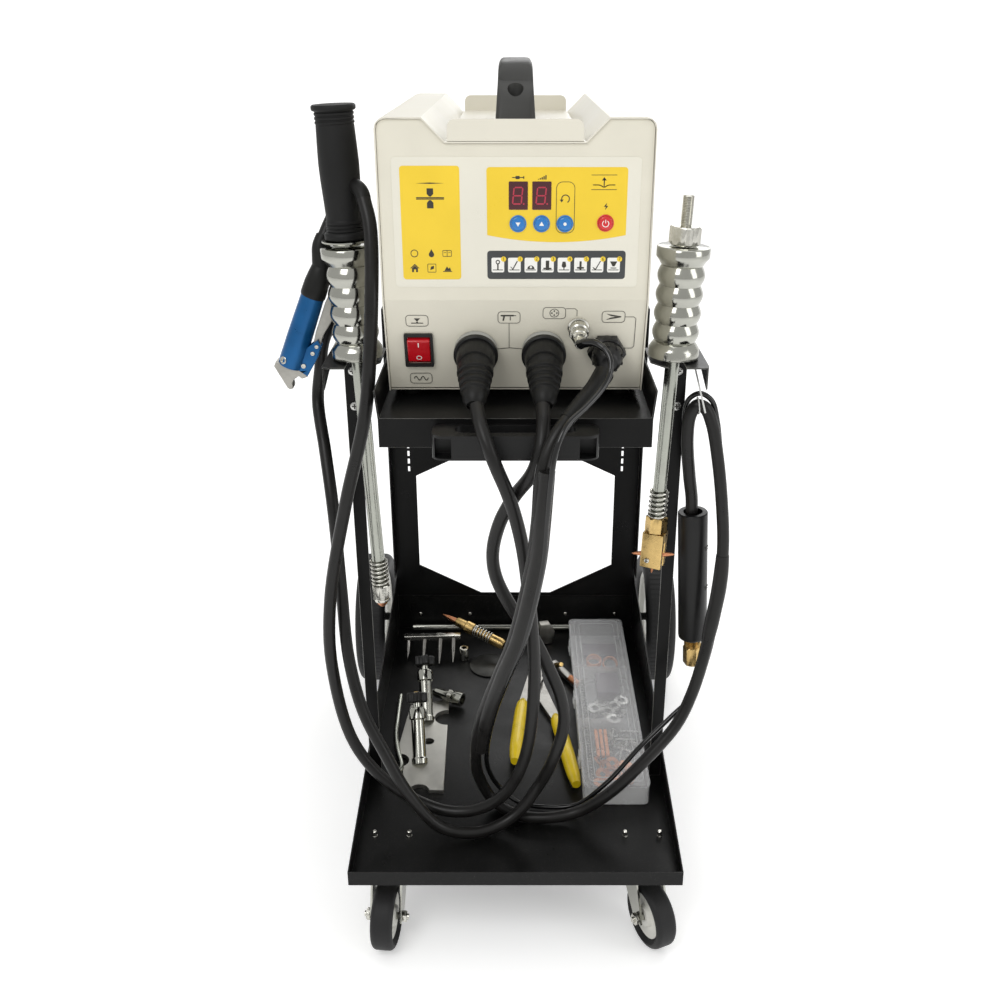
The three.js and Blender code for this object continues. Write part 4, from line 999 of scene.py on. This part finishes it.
def rear_wheel(side, name):
    """A ribbed tyre on a spoked rim, with a cap on its outer side."""
    place = at(side * REAR_WHEEL["x"], REAR_WHEEL["y"], REAR_WHEEL["z"], ry=90)
    body = f"{name}_rear_wheel"
    low, high = tyre_profile(99.6, 72, 22.5, 9)
    tyre = piece(f"{name}_tyre", turned([*low, *high, (72, -16.5)], 96), "tyre", body, place)
    ribs = []
    for i in range(72):
        rib = block(-2.2, 2.2, -0.9, 0.25, -15, 15, 0.4, 0.2)
        ribs.append(moved(rib, at(rz=5 * i) @ at(0, 99.7, 0)))
    piece(f"{name}_tread", joined(*ribs), "tyre", body, place)
    disc = [(8, -12), (30, -12), (34, -6), (60, -6), (66, -14), (71.5, -15.5), (71.5, 15.5), (66, 14),
            (60, 6), (34, 6), (30, 12), (8, 12), (8, -12)]
    piece(f"{name}_rim", turned(disc, 72), "rim", body, place)
    spokes = []
    for i in range(6):
        for z in (-11, 5):
            spokes.append(moved(block(33, 62, -2.4, 2.4, z, z + 6, 1.2, 0.6), at(rz=60 * i)))
    piece(f"{name}_spokes", joined(*spokes), "rim", body, place)
    cap = turned([(0, 12.2), (11, 12.2), (11, 14.5), (8.6, 18), (0, 19.6)], 32)
    flip = at() if side > 0 else at(rx=180)
    piece(f"{name}_cap", cap, "chrome", body, place @ flip)
    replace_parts(tyre, f"rear_wheel_{name}")


def caster(side, name, turn):
    """A swivel crown over a small wheel between the nuts of its axle."""
    place = at(side * CASTER["x"], CASTER["y"], 0, rz=turn)
    swivel = f"{name}_swivel"
    wheel = f"{name}_caster_wheel"
    dress(f"caster_fork_{name}", "chrome", 0.8)
    dress(f"caster_plate_{name}", "zinc", 0.5)
    crown = ring(8, [(19.2, 84.5), (19.6, 86), (19.6, 92), (17.5, 95), (13, 96.2)], 48)
    piece(f"{name}_crown", crown, "chrome", swivel, place)
    axle = place @ at(0, -CASTER["trail"], CASTER["z"], ry=90)
    low, high = tyre_profile(37.3, 26, 12.6, 6)
    tyre = piece(f"{name}_caster_tyre", turned([*low, *high, (26, -6.6)], 64), "tyre", wheel, axle)
    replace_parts(tyre, f"caster_wheel_{name}")
    rim = [(4.6, -11), (11, -11), (13, -7), (21, -6.4), (25.8, -8.4), (25.8, 8.4), (21, 6.4), (13, 7),
           (11, 11), (4.6, 11), (4.6, -11)]
    piece(f"{name}_caster_rim", turned(rim, 56), "rim", wheel, axle)
    for end in (-1, 1):
        tip = turned([(0, 23), (3.4, 23), (3.4, 25.4), (0, 26)], 24)
        nut = moved(joined(hex_nut(12, 18.3, 23.2, turn=12), tip), at() if end > 0 else at(rx=180))
        side_name = "outer" if end > 0 else "inner"
        piece(f"{name}_axle_nut_{side_name}", nut, "bright", swivel, axle, angle=25)


def wheels():
    for side, name in ((-1, "left"), (1, "right")):
        rear_wheel(side, name)
    caster(-1, "left", math.degrees(-0.1))
    caster(1, "right", math.degrees(0.42))


# ---------- hammers and rods ----------

HAMMER = {"x": 163, "y": -164, "z": 646.8, "lean": math.degrees(0.038)}


def hammer_place(side):
    return at(side * HAMMER["x"], HAMMER["y"], HAMMER["z"], ry=side * HAMMER["lean"])


def slide_hammer(side, name):
    """A heavy chromed weight with four rounded bulges between two stepped flanges."""
    profile = [(25, 1.6), (26, 2.4), (26, 11), (25.4, 12), (22.4, 16.6)]
    for i in range(4):
        low = 18 + 19.4 * i
        for k in range(13):
            t = k / 12
            profile.append((20.6 + 3.3 * math.sin(math.pi * t), low + 19.4 * t))
    profile += [(21.8, 97), (24.2, 101), (26.4, 103.6), (26.8, 104.6), (26.8, 113.4), (25.8, 114.4)]
    weight = piece(f"{name}_hammer", ring(7.9, profile, 72), "chrome", place=hammer_place(side), angle=50)
    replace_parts(weight, f"slide_hammer_{name}")


def spring(name, radius, thick, z0, z1, turns, place, body):
    piece(name, wire(helix(radius, z0, z1, turns), thick, detail=3), "bright", body, place, angle=60)


def pistol():
    """The left tool: a rod with its collet and spring, a disc and a ribbed grip."""
    place = hammer_place(-1)
    rod = turned([(0, -264.6), (7.2, -264.6), (7.3, -263), (7.3, 121.8), (0, 121.8)], 40)
    obj = piece("pistol_shaft", rod, "chrome_rod", "pistol", place)
    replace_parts(obj, "pistol_rod")
    nut = joined(hex_nut(20, -282, -265, turn=10), ring(5, [(8.6, -286), (9, -285), (9, -282)], 32))
    piece("pistol_nut", nut, "bright", "pistol", place, angle=25)
    collet = turned([(0, -293), (3, -293), (4.6, -291), (6.8, -287.6), (6.8, -285), (0, -285)], 32)
    piece("pistol_collet", collet, "copper", "pistol", place)
    spring("pistol_spring", 9, 1.3, -262, -236, 6.5, place, "pistol")
    disc = [(0, 115.6), (14, 115.6), (14, 119.2), (24, 119.2), (24.5, 119.8), (24.5, 121.2), (0, 121.8)]
    piece("pistol_disc", turned(disc, 56), "chrome", "pistol", place)
    profile = [(0, 122.4), (20.6, 122.4), (21, 123.4), (21, 127.4), (19.6, 129)]
    for z in (130, 133.6, 137.2):
        profile += [(17.6, z), (18.4, z + 0.6), (18.4, z + 2.4), (17.6, z + 3)]
    profile += [(17.4, 142), (18.2, 158), (19.3, 180), (19.6, 194), (19, 212), (18.3, 228)]
    for z in (229.5, 233.4, 237.3):
        profile += [(18.1, z), (18.9, z + 0.6), (18.9, z + 2.4), (18.1, z + 3)]
    profile += [(18.4, 241), (20.4, 241.8), (21.2, 243), (21.2, 245.6), (20, 247), (13, 246.6), (0, 246.6)]
    grip = piece("pistol_handle", turned(profile, 56), "grip", "pistol", place, angle=50)
    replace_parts(grip, "pistol_grip")
    elbow = smooth_route([(-145, -187, 806), (-146, -184.5, 812), (-150, -179, 818), (-158, -170, 821)], 6)
    bend = wire([p.to_tuple() for p in elbow], 7.3, detail=6)
    piece("pistol_cable_elbow", bend, "rubber", "pistol", angle=60)


def electrode_tool():
    """The right tool: a rod with a threaded top, and a forked head that holds a copper star."""
    place = hammer_place(1)
    rod = turned([(0, -181), (7.2, -181), (7.3, -179), (7.3, 114), (0, 114)], 40)
    obj = piece("electrode_shaft", rod, "chrome_rod", "electrode_tool", place)
    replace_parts(obj, "electrode_rod")
    profile = [(0, 113), (5.2, 113)]
    for i in range(19):
        z = 135 + i * 1.5
        profile += [(5.2, z), (6.0, z + 0.75)]
    profile += [(5.2, 163.4), (4.6, 164), (0, 164)]
    piece("electrode_thread", turned(profile, 32), "bright", "electrode_tool", place, angle=60)
    piece("electrode_nut", hex_nut(28, 115.7, 134, turn=8), "bright", "electrode_tool", place, angle=25)
    piece("electrode_seat", hex_nut(21, -199, -180.5, turn=20), "brass", "electrode_tool", place, angle=25)
    spring("electrode_spring", 9.2, 1.4, -179, -151, 6.5, place, "electrode_tool")
    cheeks = [block(-12, 12, y, y + 7.6, -241, -199.4, 1.6, 0.8) for y in (-10, 2.4)]
    fork = joined(*cheeks, block(-12, 12, -3, 3, -211, -199.4, 1, 0.3))
    turned_place = place @ at(rz=-24)
    head = piece("electrode_fork", fork, "brass", "electrode_tool", turned_place)
    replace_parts(head, "electrode_head")
    screw_at("electrode_pin", 3.1, 1.8, turned_place @ at(-4, -10, -232, rx=90), "bright", "electrode_tool")
    spikes = []
    for i in range(8):
        reach = 24 if i % 2 == 0 else 17
        spike = turned([(0, 0), (3.8, 0), (3.4, 10), (1.5, reach - 2.4), (0.5, reach - 0.2), (0, reach)], 20)
        spikes.append(moved(spike, at(0, 0, -227, ry=45 * i)))
    hub = moved(turned([(0, -2.2), (8, -2.2), (8, 2.2), (0, 2.2)], 32), at(0, 0, -227, rx=90))
    piece("electrode_star", joined(*spikes, hub), "copper", "electrode_tool", place)


# ---------- puller and torch ----------

PULLER = at(-232.3, -145, 646.8, ry=math.degrees(0.374))
TORCH = at(197, -155, 468, ry=-math.degrees(0.062))


def in_xz(place):
    """Turns a plate drawn in XY so that its outline stands in XZ and its front faces -Y."""
    return place @ at(rx=90)


def puller():
    """A blue handle with a cast hook, and a lever between two cheeks."""
    handle = turned([(0, -16), (10.6, -16), (12.6, -15), (13.3, -11.5), (13.1, 20), (12.4, 50), (12, 64.6),
                     (0, 64.6)], 56)
    body = piece("puller_handle", handle, "blue_metal", place=PULLER)
    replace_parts(body, "puller_body")
    sleeve = [(0, 64), (12.4, 64), (13, 65.6), (13, 70), (12.7, 79), (11.6, 88), (10.4, 95.6), (9.4, 97),
              (0, 97)]
    piece("puller_sleeve", turned(sleeve, 56), "rubber", place=PULLER)
    hook = [(-15, -14.2), (-15.4, -20), (4.6, -37.6), (7.6, -38.4), (10.2, -36.4), (9.8, -34), (7.8, -30.6),
            (8.6, -26), (12, -21), (16, -22.6), (20.6, -18.6), (20, -10), (12, -14)]
    piece("puller_hook", plate([hook], -7, 7, 0.9), "cast", place=in_xz(PULLER))
    cheek = [(9, -15), (20.6, -18.2), (24.4, 4), (24.4, 18), (19.2, 23.6), (10, 10)]
    for side in (-1, 1):
        spot = in_xz(PULLER) @ at(0, 0, side * 5.6)
        piece(f"puller_cheek_{'front' if side > 0 else 'rear'}", plate([cheek], -1.4, 1.4, 0.5), "blue_metal",
              place=spot)
    for x, z, radius in ((18.5, 8.2, 2.3), (13.6, -8.2, 2.6), (20.2, 16.6, 2.1)):
        socket = joined(ring(radius * 0.55, [(radius, 0), (radius, 1), (radius * 0.9, 1.3)], 24),
                        turned([(0, 0), (radius * 0.6, 0), (radius * 0.6, 0.4), (0, 0.4)], 6))
        piece(f"puller_bolt_{x}", socket, "bright", place=in_xz(PULLER) @ at(x, z, 6.9))
    face = turned([(0, 0), (2.6, 0), (2.6, 0.3), (0, 0.3)], 24)
    pin = joined(ring(2.4, [(4, 0), (4, 0.8), (3.6, 1.1)], 24), face)
    piece("puller_side_bolt", pin, "bright", place=PULLER @ at(-7.4, -10.6, -8.6, rx=90, rz=-32))
    arm = [(17, 6), (14.4, 30), (14.2, 64), (15.2, 71), (17.2, 75.6), (20, 68), (23, 56.6), (26.8, 48.6),
           (23, 30), (23.5, 8)]
    lever = piece("puller_blade", plate([arm], -3.5, 3.5, 0.7), "cast", "lever", in_xz(PULLER))
    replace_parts(lever, "puller_lever")
    relief = [(-197.6, -145, 735), (-197.9, -144.3, 745), (-198, -143, 757), (-194.5, -139, 767)]
    taper(smooth_route(relief, 8), (9.4, 8.9, 7.9, 7.3), "puller_relief", "rubber")


def torch():
    """An open-ended tube with a thick wall, over a threaded brass collar and a nut."""
    wall = ring(10.8, [(14.6, -161), (16, -159.6), (16.5, -157), (16.5, -1.2), (15.6, 0)], 64)
    tube = piece("torch_tube", wall, "plastic", place=TORCH)
    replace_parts(tube, "torch_body")
    piece("torch_core", turned([(0, -150), (10.6, -150), (10.6, -62), (7, -60), (0, -60)], 40), "rubber",
          place=TORCH)
    for z in (-42, -92):
        notch = joined(block(-4, 4, -0.6, 0.4, z, z + 1.6, 0.4, 0.2),
                       block(-3, 3, -0.6, 0.6, z - 2.6, z - 1.6, 0.4, 0.2))
        piece(f"torch_latch_{-z}", notch, "ink", place=TORCH @ at(rz=62) @ at(0, -16.3, 0))
    profile = [(0, -174), (8.8, -174)]
    for i in range(8):
        z = -173 + i * 1.6
        profile += [(8.8, z), (9.8, z + 0.8)]
    profile += [(10, -159), (11.8, -156), (12, -150), (0, -150)]
    piece("torch_collar", turned(profile, 40), "brass", place=TORCH, angle=60)
    piece("torch_nut", hex_nut(19, -197, -173.4, turn=16), "brass", place=TORCH, angle=25)


def strap():
    """A thin pale strap that holds the cable loop to the bracket."""
    band = [(-1.2, 0), (1.2, 0), (1.2, 0.5), (-1.2, 0.5)]
    top, low = (184, -176, 641), (196.5, -187, 594)
    length = (Vector(top) - Vector(low)).length
    piece("loop_strap", plate([band], 0, length), "strap", place=along(low, top))
    loop = wire([(*p, 0) for p in circle(8.8, count=28)], 0.7, closed=True, detail=2)
    piece("strap_loop", loop, "strap", place=at(191, -174.6, 598, ry=84), angle=60)


# ---------- accessories on the tray ----------

# The height at which the dark disc and the comb's tube stand.
STAND_Z = 102.2


def rod_between(start, stop, radius):
    """A turned rod from one point to another, with small chamfers."""
    length = (Vector(stop) - Vector(start)).length
    profile = [(0, 0), (radius - 0.5, 0), (radius, 0.6), (radius, length - 0.6), (radius - 0.5, length),
               (0, length)]
    return moved(turned(profile, 28), along(start, stop))


def along(start, stop):
    """A place at start whose Z axis points to stop."""
    a, b = Vector(start), Vector(stop)
    return Matrix.Translation(a) @ (b - a).to_track_quat("Z", "Y").to_matrix().to_4x4()


def star_knob(name, place):
    """A knob with five lobes, and a small brass insert on top."""
    lobes = []
    for turn in range(0, 360, 8):
        a = math.radians(turn)
        reach = 11.6 + 2.4 * math.cos(5 * a)
        lobes.append((reach * math.cos(a), reach * math.sin(a)))
    piece(f"{name}_lobes", plate([lobes], 0, 13, 2.2), "moulded", place=place)
    insert = turned([(0, 12.6), (3.2, 12.6), (3.2, 14.2), (2.6, 14.6), (0, 14.6)], 24)
    piece(f"{name}_insert", insert, "brass", place=place)


def stand():
    """A flat plate with bites out of its edges, and two stepped legs under lobed knobs."""
    low = box_mm("puller_stand")[0].z
    outline = [(-144, -4), (-151, -90), (-135, -182), (-88, -184), (-92, 10)]
    sheet = piece("stand_plate", plate([outline], low, low + 6, 0.5), "aluminium")
    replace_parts(sheet, "puller_stand")
    for x, y, radius in ((-92, -33, 17), (-118, -186, 13), (-149, -126, 14), (-113, -86, 7)):
        bite = turned([(0, low - 2), (radius, low - 2), (radius, low + 8), (0, low + 8)])
        carve(sheet, bite, at(x, y))
    length = 76
    for name, x, y, lean in (("front", -121, -130, 0.69), ("rear", -119, -40, 0.79)):
        place = at(x, y, low + 4, ry=math.degrees(-0.1)) @ at(rx=-math.degrees(lean))
        tube = turned([(0, 0), (10.4, 0), (10.4, 6), (8.8, 8), (8.6, length - 22), (10.6, length - 20),
                       (10.8, length - 9), (8.8, length - 6), (5, length - 5), (5, length), (0, length)], 40)
        piece(f"stand_leg_{name}", tube, "chrome", place=place)
        star_knob(f"stand_knob_{name}", place @ at(z=length))


def chuck():
    """A collet chuck lying with its open end forward, and the long rod at the back of the tray."""
    place = along((-73, -1, 114), (-115, 20, 114))
    profile = [(0, 9), (6.4, 9), (6.4, 0), (9, 0), (9.6, 0.8), (9.6, 13), (8.6, 15), (8.6, 22), (7, 26),
               (7, 40), (5, 44), (4.4, 46), (0, 46.9)]
    piece("chuck", turned(profile, 40), "chrome", place=place)
    piece("chuck_nut", hex_nut(17, 15, 22, turn=12), "bright", place=place, angle=25)
    piece("tray_rod", rod_between((-159, 206, 107.4), (90, 206, 107.4), 5.4), "chrome")


def comb():
    """A long pulling bar on four prongs, with a short tube standing beside it."""
    bar = moved(block(-42, 42, -5, 5, 0, 7, 1.4, 0.7), at(-124, 141, 126, rz=2))
    piece("comb_bar", bar, "bright")
    for i, (x, y) in enumerate(((-160, 122), (-136, 108), (-112, 104), (-92, 108))):
        start, stop = (x * 0.98 - 2, 140, 128), (x, y, 106)
        length = (Vector(stop) - Vector(start)).length
        prong = turned([(0, 0), (3.2, 0), (3.2, 20), (0.8, length), (0, 36)], 20)
        piece(f"comb_prong_{i + 1}", prong, "steel", place=along(start, stop))
    tube = ring(4, [(6.4, STAND_Z), (6.8, 103), (6.8, 121), (6.2, 122)], 32)
    piece("comb_tube", tube, "bright", place=at(-76, 122, 0))


def pointed_electrode():
    """A pointed copper tip in a stepped brass barrel, over a thin steel disc."""
    place = along((-110, 179, 146), (-14, 123, 124))
    tip = turned([(0, 0), (0.8, 0.2), (3.8, 13), (4.2, 25), (0, 25)], 32)
    piece("electrode_point", tip, "copper", place=place)
    profile = [(0, 25), (6, 25), (7, 27), (7, 42), (9, 44), (9, 56), (6.4, 58), (6.4, 86), (8, 88), (8, 104),
               (6, 110), (0, 111)]
    piece("electrode_barrel", turned(profile, 40), "brass", place=place)
    piece("electrode_coil", wire(helix(8.2, 59, 86, 7), 1.2), "bright", place=place, angle=60)
    disc = turned([(0, 0), (30, 0), (31, 0.6), (31, 1.4), (30, 2), (0, 2)], 64)
    piece("tray_disc", disc, "dark_steel", place=at(-36, 104, STAND_Z))


def smooth_path(points, z):
    """A smooth level path through points in XY."""
    return smooth_route([(x, y, z) for x, y in points], 12)


def pliers():
    """Two steel arms with dipped yellow grips, which narrow at their ends."""
    arms = (("plier_arm_upper", "upper_plier_arm", 114, ((10.5, -2), (5, -60), (-0.8, -136))),
            ("plier_arm_lower", "machine", 111.4, ((53.5, -34), (62, -88), (74.6, -178))))
    radii = (4, 8, 8.8, 9, 9, 9, 9, 9, 9, 8.8, 8, 5.4)
    for node, body, middle, ends in arms:
        dress(node, "steel", 1.0)
        taper(smooth_path(ends, middle), radii, f"{node}_grip", "vinyl", body)
    pin = turned([(0, 117.4), (7.6, 117.4), (7.6, 119.4), (6.4, 121), (0, 121.6)], 32)
    piece("plier_pin", pin, "bright", place=at(28, 50, 0))


def clamp_parts():
    """A wedge, a small clamp and a bent hook, which lie loose."""
    wedge = plate([[(-10, -16), (12, -16), (16, 4), (8, 18), (-6, 18)]], 0, 13, 1.2)
    piece("steel_wedge", wedge, "cast", place=at(41, 176, 118.4, rx=90, rz=14))
    arm = moved(block(-5, 5, 0, 66, 0, 7, 2, 0.8), at(55, 105, 104, rz=-152))
    piece("clamp_arm", arm, "steel")
    piece("clamp_tip", rod_between((78, 60, 110), (90, 40, 110), 5), "copper")
    piece("clamp_screw", rod_between((58, 92, 111), (66, 76, 122), 3.4), "brass")
    line = [(-160, 19), (-159, -28), (-157, -74), (-151, -108), (-144, -136), (-145, -146), (-150, -150)]
    path = smooth_route([(x, y, 107.4) for x, y in line], 6)
    hook = wire([point.to_tuple() for point in path], 3.4, detail=4)
    piece("bent_hook", hook, "chrome_rod", angle=60)


# ---------- the clear box ----------


def walled(low, high, wall, radius):
    """The outline of a box's walls, and of the space inside them."""
    outer = rounded(low.x, high.x, low.y, high.y, radius)
    inner = rounded(low.x + wall, high.x - wall, low.y + wall, high.y - wall, radius - (wall - 0.2))
    return outer, inner


def clear_box():
    """A moulded tub and its lid, both with round corners."""
    wall = 1.6
    low, high = box_mm("accessory_box")
    outer, inner = walled(low, high, wall, 7)
    tub = joined(plate([outer], low.z, low.z + 1.8, 0.6), plate([outer, inner], low.z + 1.8, high.z, 0.3))
    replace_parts(piece("box_tub", tub, "clear"), "accessory_box")
    low, high = box_mm("accessory_box_lid")
    outer, inner = walled(low, high, wall, 8)
    top = high.z - wall
    lid = joined(plate([outer], top, high.z, 0.6), plate([outer, inner], low.z, top, 0.3))
    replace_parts(piece("box_cover", lid, "clear_lid", "box_lid"), "accessory_box_lid")
    for inset, radius in ((7, 6), (14, 8)):
        rib = [rounded(low.x + i, high.x - i, low.y + i, high.y - i, r)
               for i, r in ((inset, radius), (inset + wall, radius - wall))]
        piece(f"lid_rib_{inset}", plate(rib, high.z, high.z + 0.9, 0.3), "clear", "box_lid")
    for y in (123, -11, -141):
        latch = joined(block(-2.6, 0, -11, 11, -13, 2, 1, 0.5), block(-3.6, -1, -7, 7, -9, -6.4, 1, 0.4))
        piece(f"box_latch_{y}", latch, "clear", place=at(low.x + 0.4, y, 127))
    for i, y in enumerate((66, -60)):
        divider = block(84, 159, y, y + 1.4, 103.8, 124.5, 0.6, 0.3)
        piece(f"box_divider_{i + 1}", divider, "clear")


def scattered(count, x0, x1, y0, y1):
    """Places that fill a rectangle evenly, each with its own turn in degrees."""
    return [(x0 + (x1 - x0) * (i * 0.618 % 1), y0 + (y1 - y0) * (i + 0.5) / count, i * 77 % 180)
            for i in range(count)]


def box_contents():
    """Coils, rings, bars, studs and washers lie loose in the three compartments."""
    coils = [moved(wire(helix(10, 0, 8, 5), 1.4), at(x, y, 111, rx=tilt)) for x, y, tilt in
             ((114, 96, 16), (137, 92, 40))]
    piece("box_coils", joined(*coils), "copper", angle=60)
    piece("box_clip", block(100, 150, 118, 150, 104.4, 112, 3, 1), "violet")
    piece("box_block", block(113, 145, 10, 60, 104.4, 119, 2, 1), "violet")
    washer = [(10, 0), (10.4, 0.6), (10.4, 2.2), (10, 2.8)]
    rings = [moved(ring(5, washer, 36), at(x, y, 110, rx=turn % 50 - 20, rz=turn))
             for x, y, turn in scattered(9, 104, 148, -52, 4)]
    piece("box_rings", joined(*rings), "zinc", angle=40)
    bars = [block(x, x + 4.6, -128, -70, 112, 116, 1.5, 0.8) for x in (103, 109, 115)]
    piece("box_bars", joined(*bars), "copper")
    stud = [(0, -1), (3.4, -1), (3.4, 0), (1.5, 0), (1.5, 24), (0.3, 26), (0, 26)]
    studs = [moved(turned(stud, 14), at(x, y, 112 + turn % 6, rx=90, rz=turn - 90))
             for x, y, turn in scattered(16, 122, 146, -116, -72)]
    piece("box_studs", joined(*studs), "zinc", angle=40)
    thin = [(8.6, 0), (8.8, 0.3), (8.6, 1.2)]
    washers = [moved(ring(3.6, thin, 28), at(x, y, 113, rx=turn % 60, rz=turn))
               for x, y, turn in scattered(14, 104, 146, -178, -134)]
    piece("box_washers", joined(*washers), "copper", angle=40)
    small = [(5.6, 0), (5.8, 0.3), (5.6, 1.1)]
    row = [moved(ring(3, small, 20), at(93, -176 + 6.2 * i, 110, rx=78)) for i in range(37)]
    piece("box_washer_row", joined(*row), "zinc", angle=40)


# ---------- sleeves over the cables ----------


def taper(path, radii, name, look, body="machine"):
    """A closed skin round a path in millimetres, whose radius runs through the given values."""
    bm = bmesh.new()
    side = (path[1] - path[0]).orthogonal()
    rows = []
    for i, point in enumerate(path):
        ahead = (path[min(i + 1, len(path) - 1)] - path[max(i - 1, 0)]).normalized()
        side = (side - ahead * side.dot(ahead)).normalized()
        other = ahead.cross(side)
        where = i / (len(path) - 1) * (len(radii) - 1)
        k = min(int(where), len(radii) - 2)
        radius = radii[k] + (radii[k + 1] - radii[k]) * (where - k)
        row = []
        for j in range(28):
            a = 2 * math.pi * j / 28
            row.append(bm.verts.new(point + radius * (side * math.cos(a) + other * math.sin(a))))
        rows.append(row)
    for low, high in zip(rows, rows[1:]):
        for j in range(28):
            bm.faces.new((low[j], low[(j + 1) % 28], high[(j + 1) % 28], high[j]))
    bm.faces.new(rows[0][::-1])
    bm.faces.new(rows[-1])
    bmesh.ops.recalc_face_normals(bm, faces=bm.faces)
    piece(name, mesh_of(bm), look, body, angle=50)


def tube_along(route, first, last, radii, name, look):
    """A sleeve over a stretch of a route, between two parts of its number of points."""
    line = smooth_route(route)
    count = len(line) - 1
    path = [point / MM for point in line[round(first * count):round(last * count) + 1]]
    taper(path, radii, name, look)


def middle_route(first, second, step, low, high):
    """Points halfway between two routes, which hold the same number of points there."""
    return [tuple((a + b) / 2 for a, b in zip(p, q))
            for p, q in zip(first[low:high], second[low + step:high + step])]


def sleeves():
    """Tapered reliefs where the cables leave the front, and sleeves that hold two cables together."""
    tube_along(TORCH_ROUTE, 0, 0.085, (9.8, 9.3, 8.6, 7.8, 7.2), "torch_relief", "rubber")
    tube_along(CONTROL_ROUTE, 0, 0.07, (4.8, 4.6, 4.2, 3.7, 3.2), "control_relief", "cable_gloss")
    pair = middle_route(TORCH_ROUTE, CONTROL_ROUTE, 6, 5, 12)
    tube_along(pair, 0, 1, (7.6, 8.5, 8.5, 8.5, 8.5, 8.5, 7.2), "pair_sleeve_upper", "cable")
    tube_along(TORCH_ROUTE, 0.635, 0.7, (7.2, 8.2, 8.0, 8.3, 8.1, 7.2), "loop_sleeve", "cable")


# ---------- rear ----------


def rear_details():
    """A round guard over the fan, and the screws that hold the rear panel."""
    face = box_mm("rear_panel")[1].y
    place = at(40, face + 0.4, 745, rx=-90)
    rings = [wire([(*p, 0) for p in circle(radius, count=56)], 1.1, closed=True, detail=2)
             for radius in (12, 22, 32, 42)]
    spokes = [moved(rod_between((10, 0, 0), (50, 0, 0), 1.2), at(rz=45 + 90 * i)) for i in range(4)]
    hub = turned([(0, -0.6), (11, -0.6), (11, 0.8), (0, 1.2)], 40)
    piece("fan_guard", joined(*rings, *spokes, hub), "zinc", place=place @ at(z=1.4), angle=50)
    for i in range(4):
        a = math.radians(45 + 90 * i)
        screw_at(f"fan_screw_{i + 1}", 3.4, 2.0, place @ at(50 * math.cos(a), 50 * math.sin(a), 2.4))
    for x in (-119, 119):
        for z in (640, 760, 862):
            screw_at(f"rear_screw_{x}_{z}", 3.2, 1.8, at(x, face + 0.1, z, rx=-90))


# ---------- the whole model ----------

paints()
plastics()
metals()
camera()
lights()
floor()
cabinet()
carry_handle()
overlay()
spot_mark()
small_signs()
display()
steel_sign()
control_buttons()
tool_signs()
rocker()
slope_signs()
weld_socket("left", -39)
weld_socket("right", 27.8)
control_connector()
gland()
rear_details()
trolley()
wheels()
slide_hammer(-1, "left")
slide_hammer(1, "right")
pistol()
electrode_tool()
puller()
torch()
strap()
stand()
chuck()
comb()
pointed_electrode()
pliers()
clamp_parts()
clear_box()
box_contents()
cables()
sleeves()
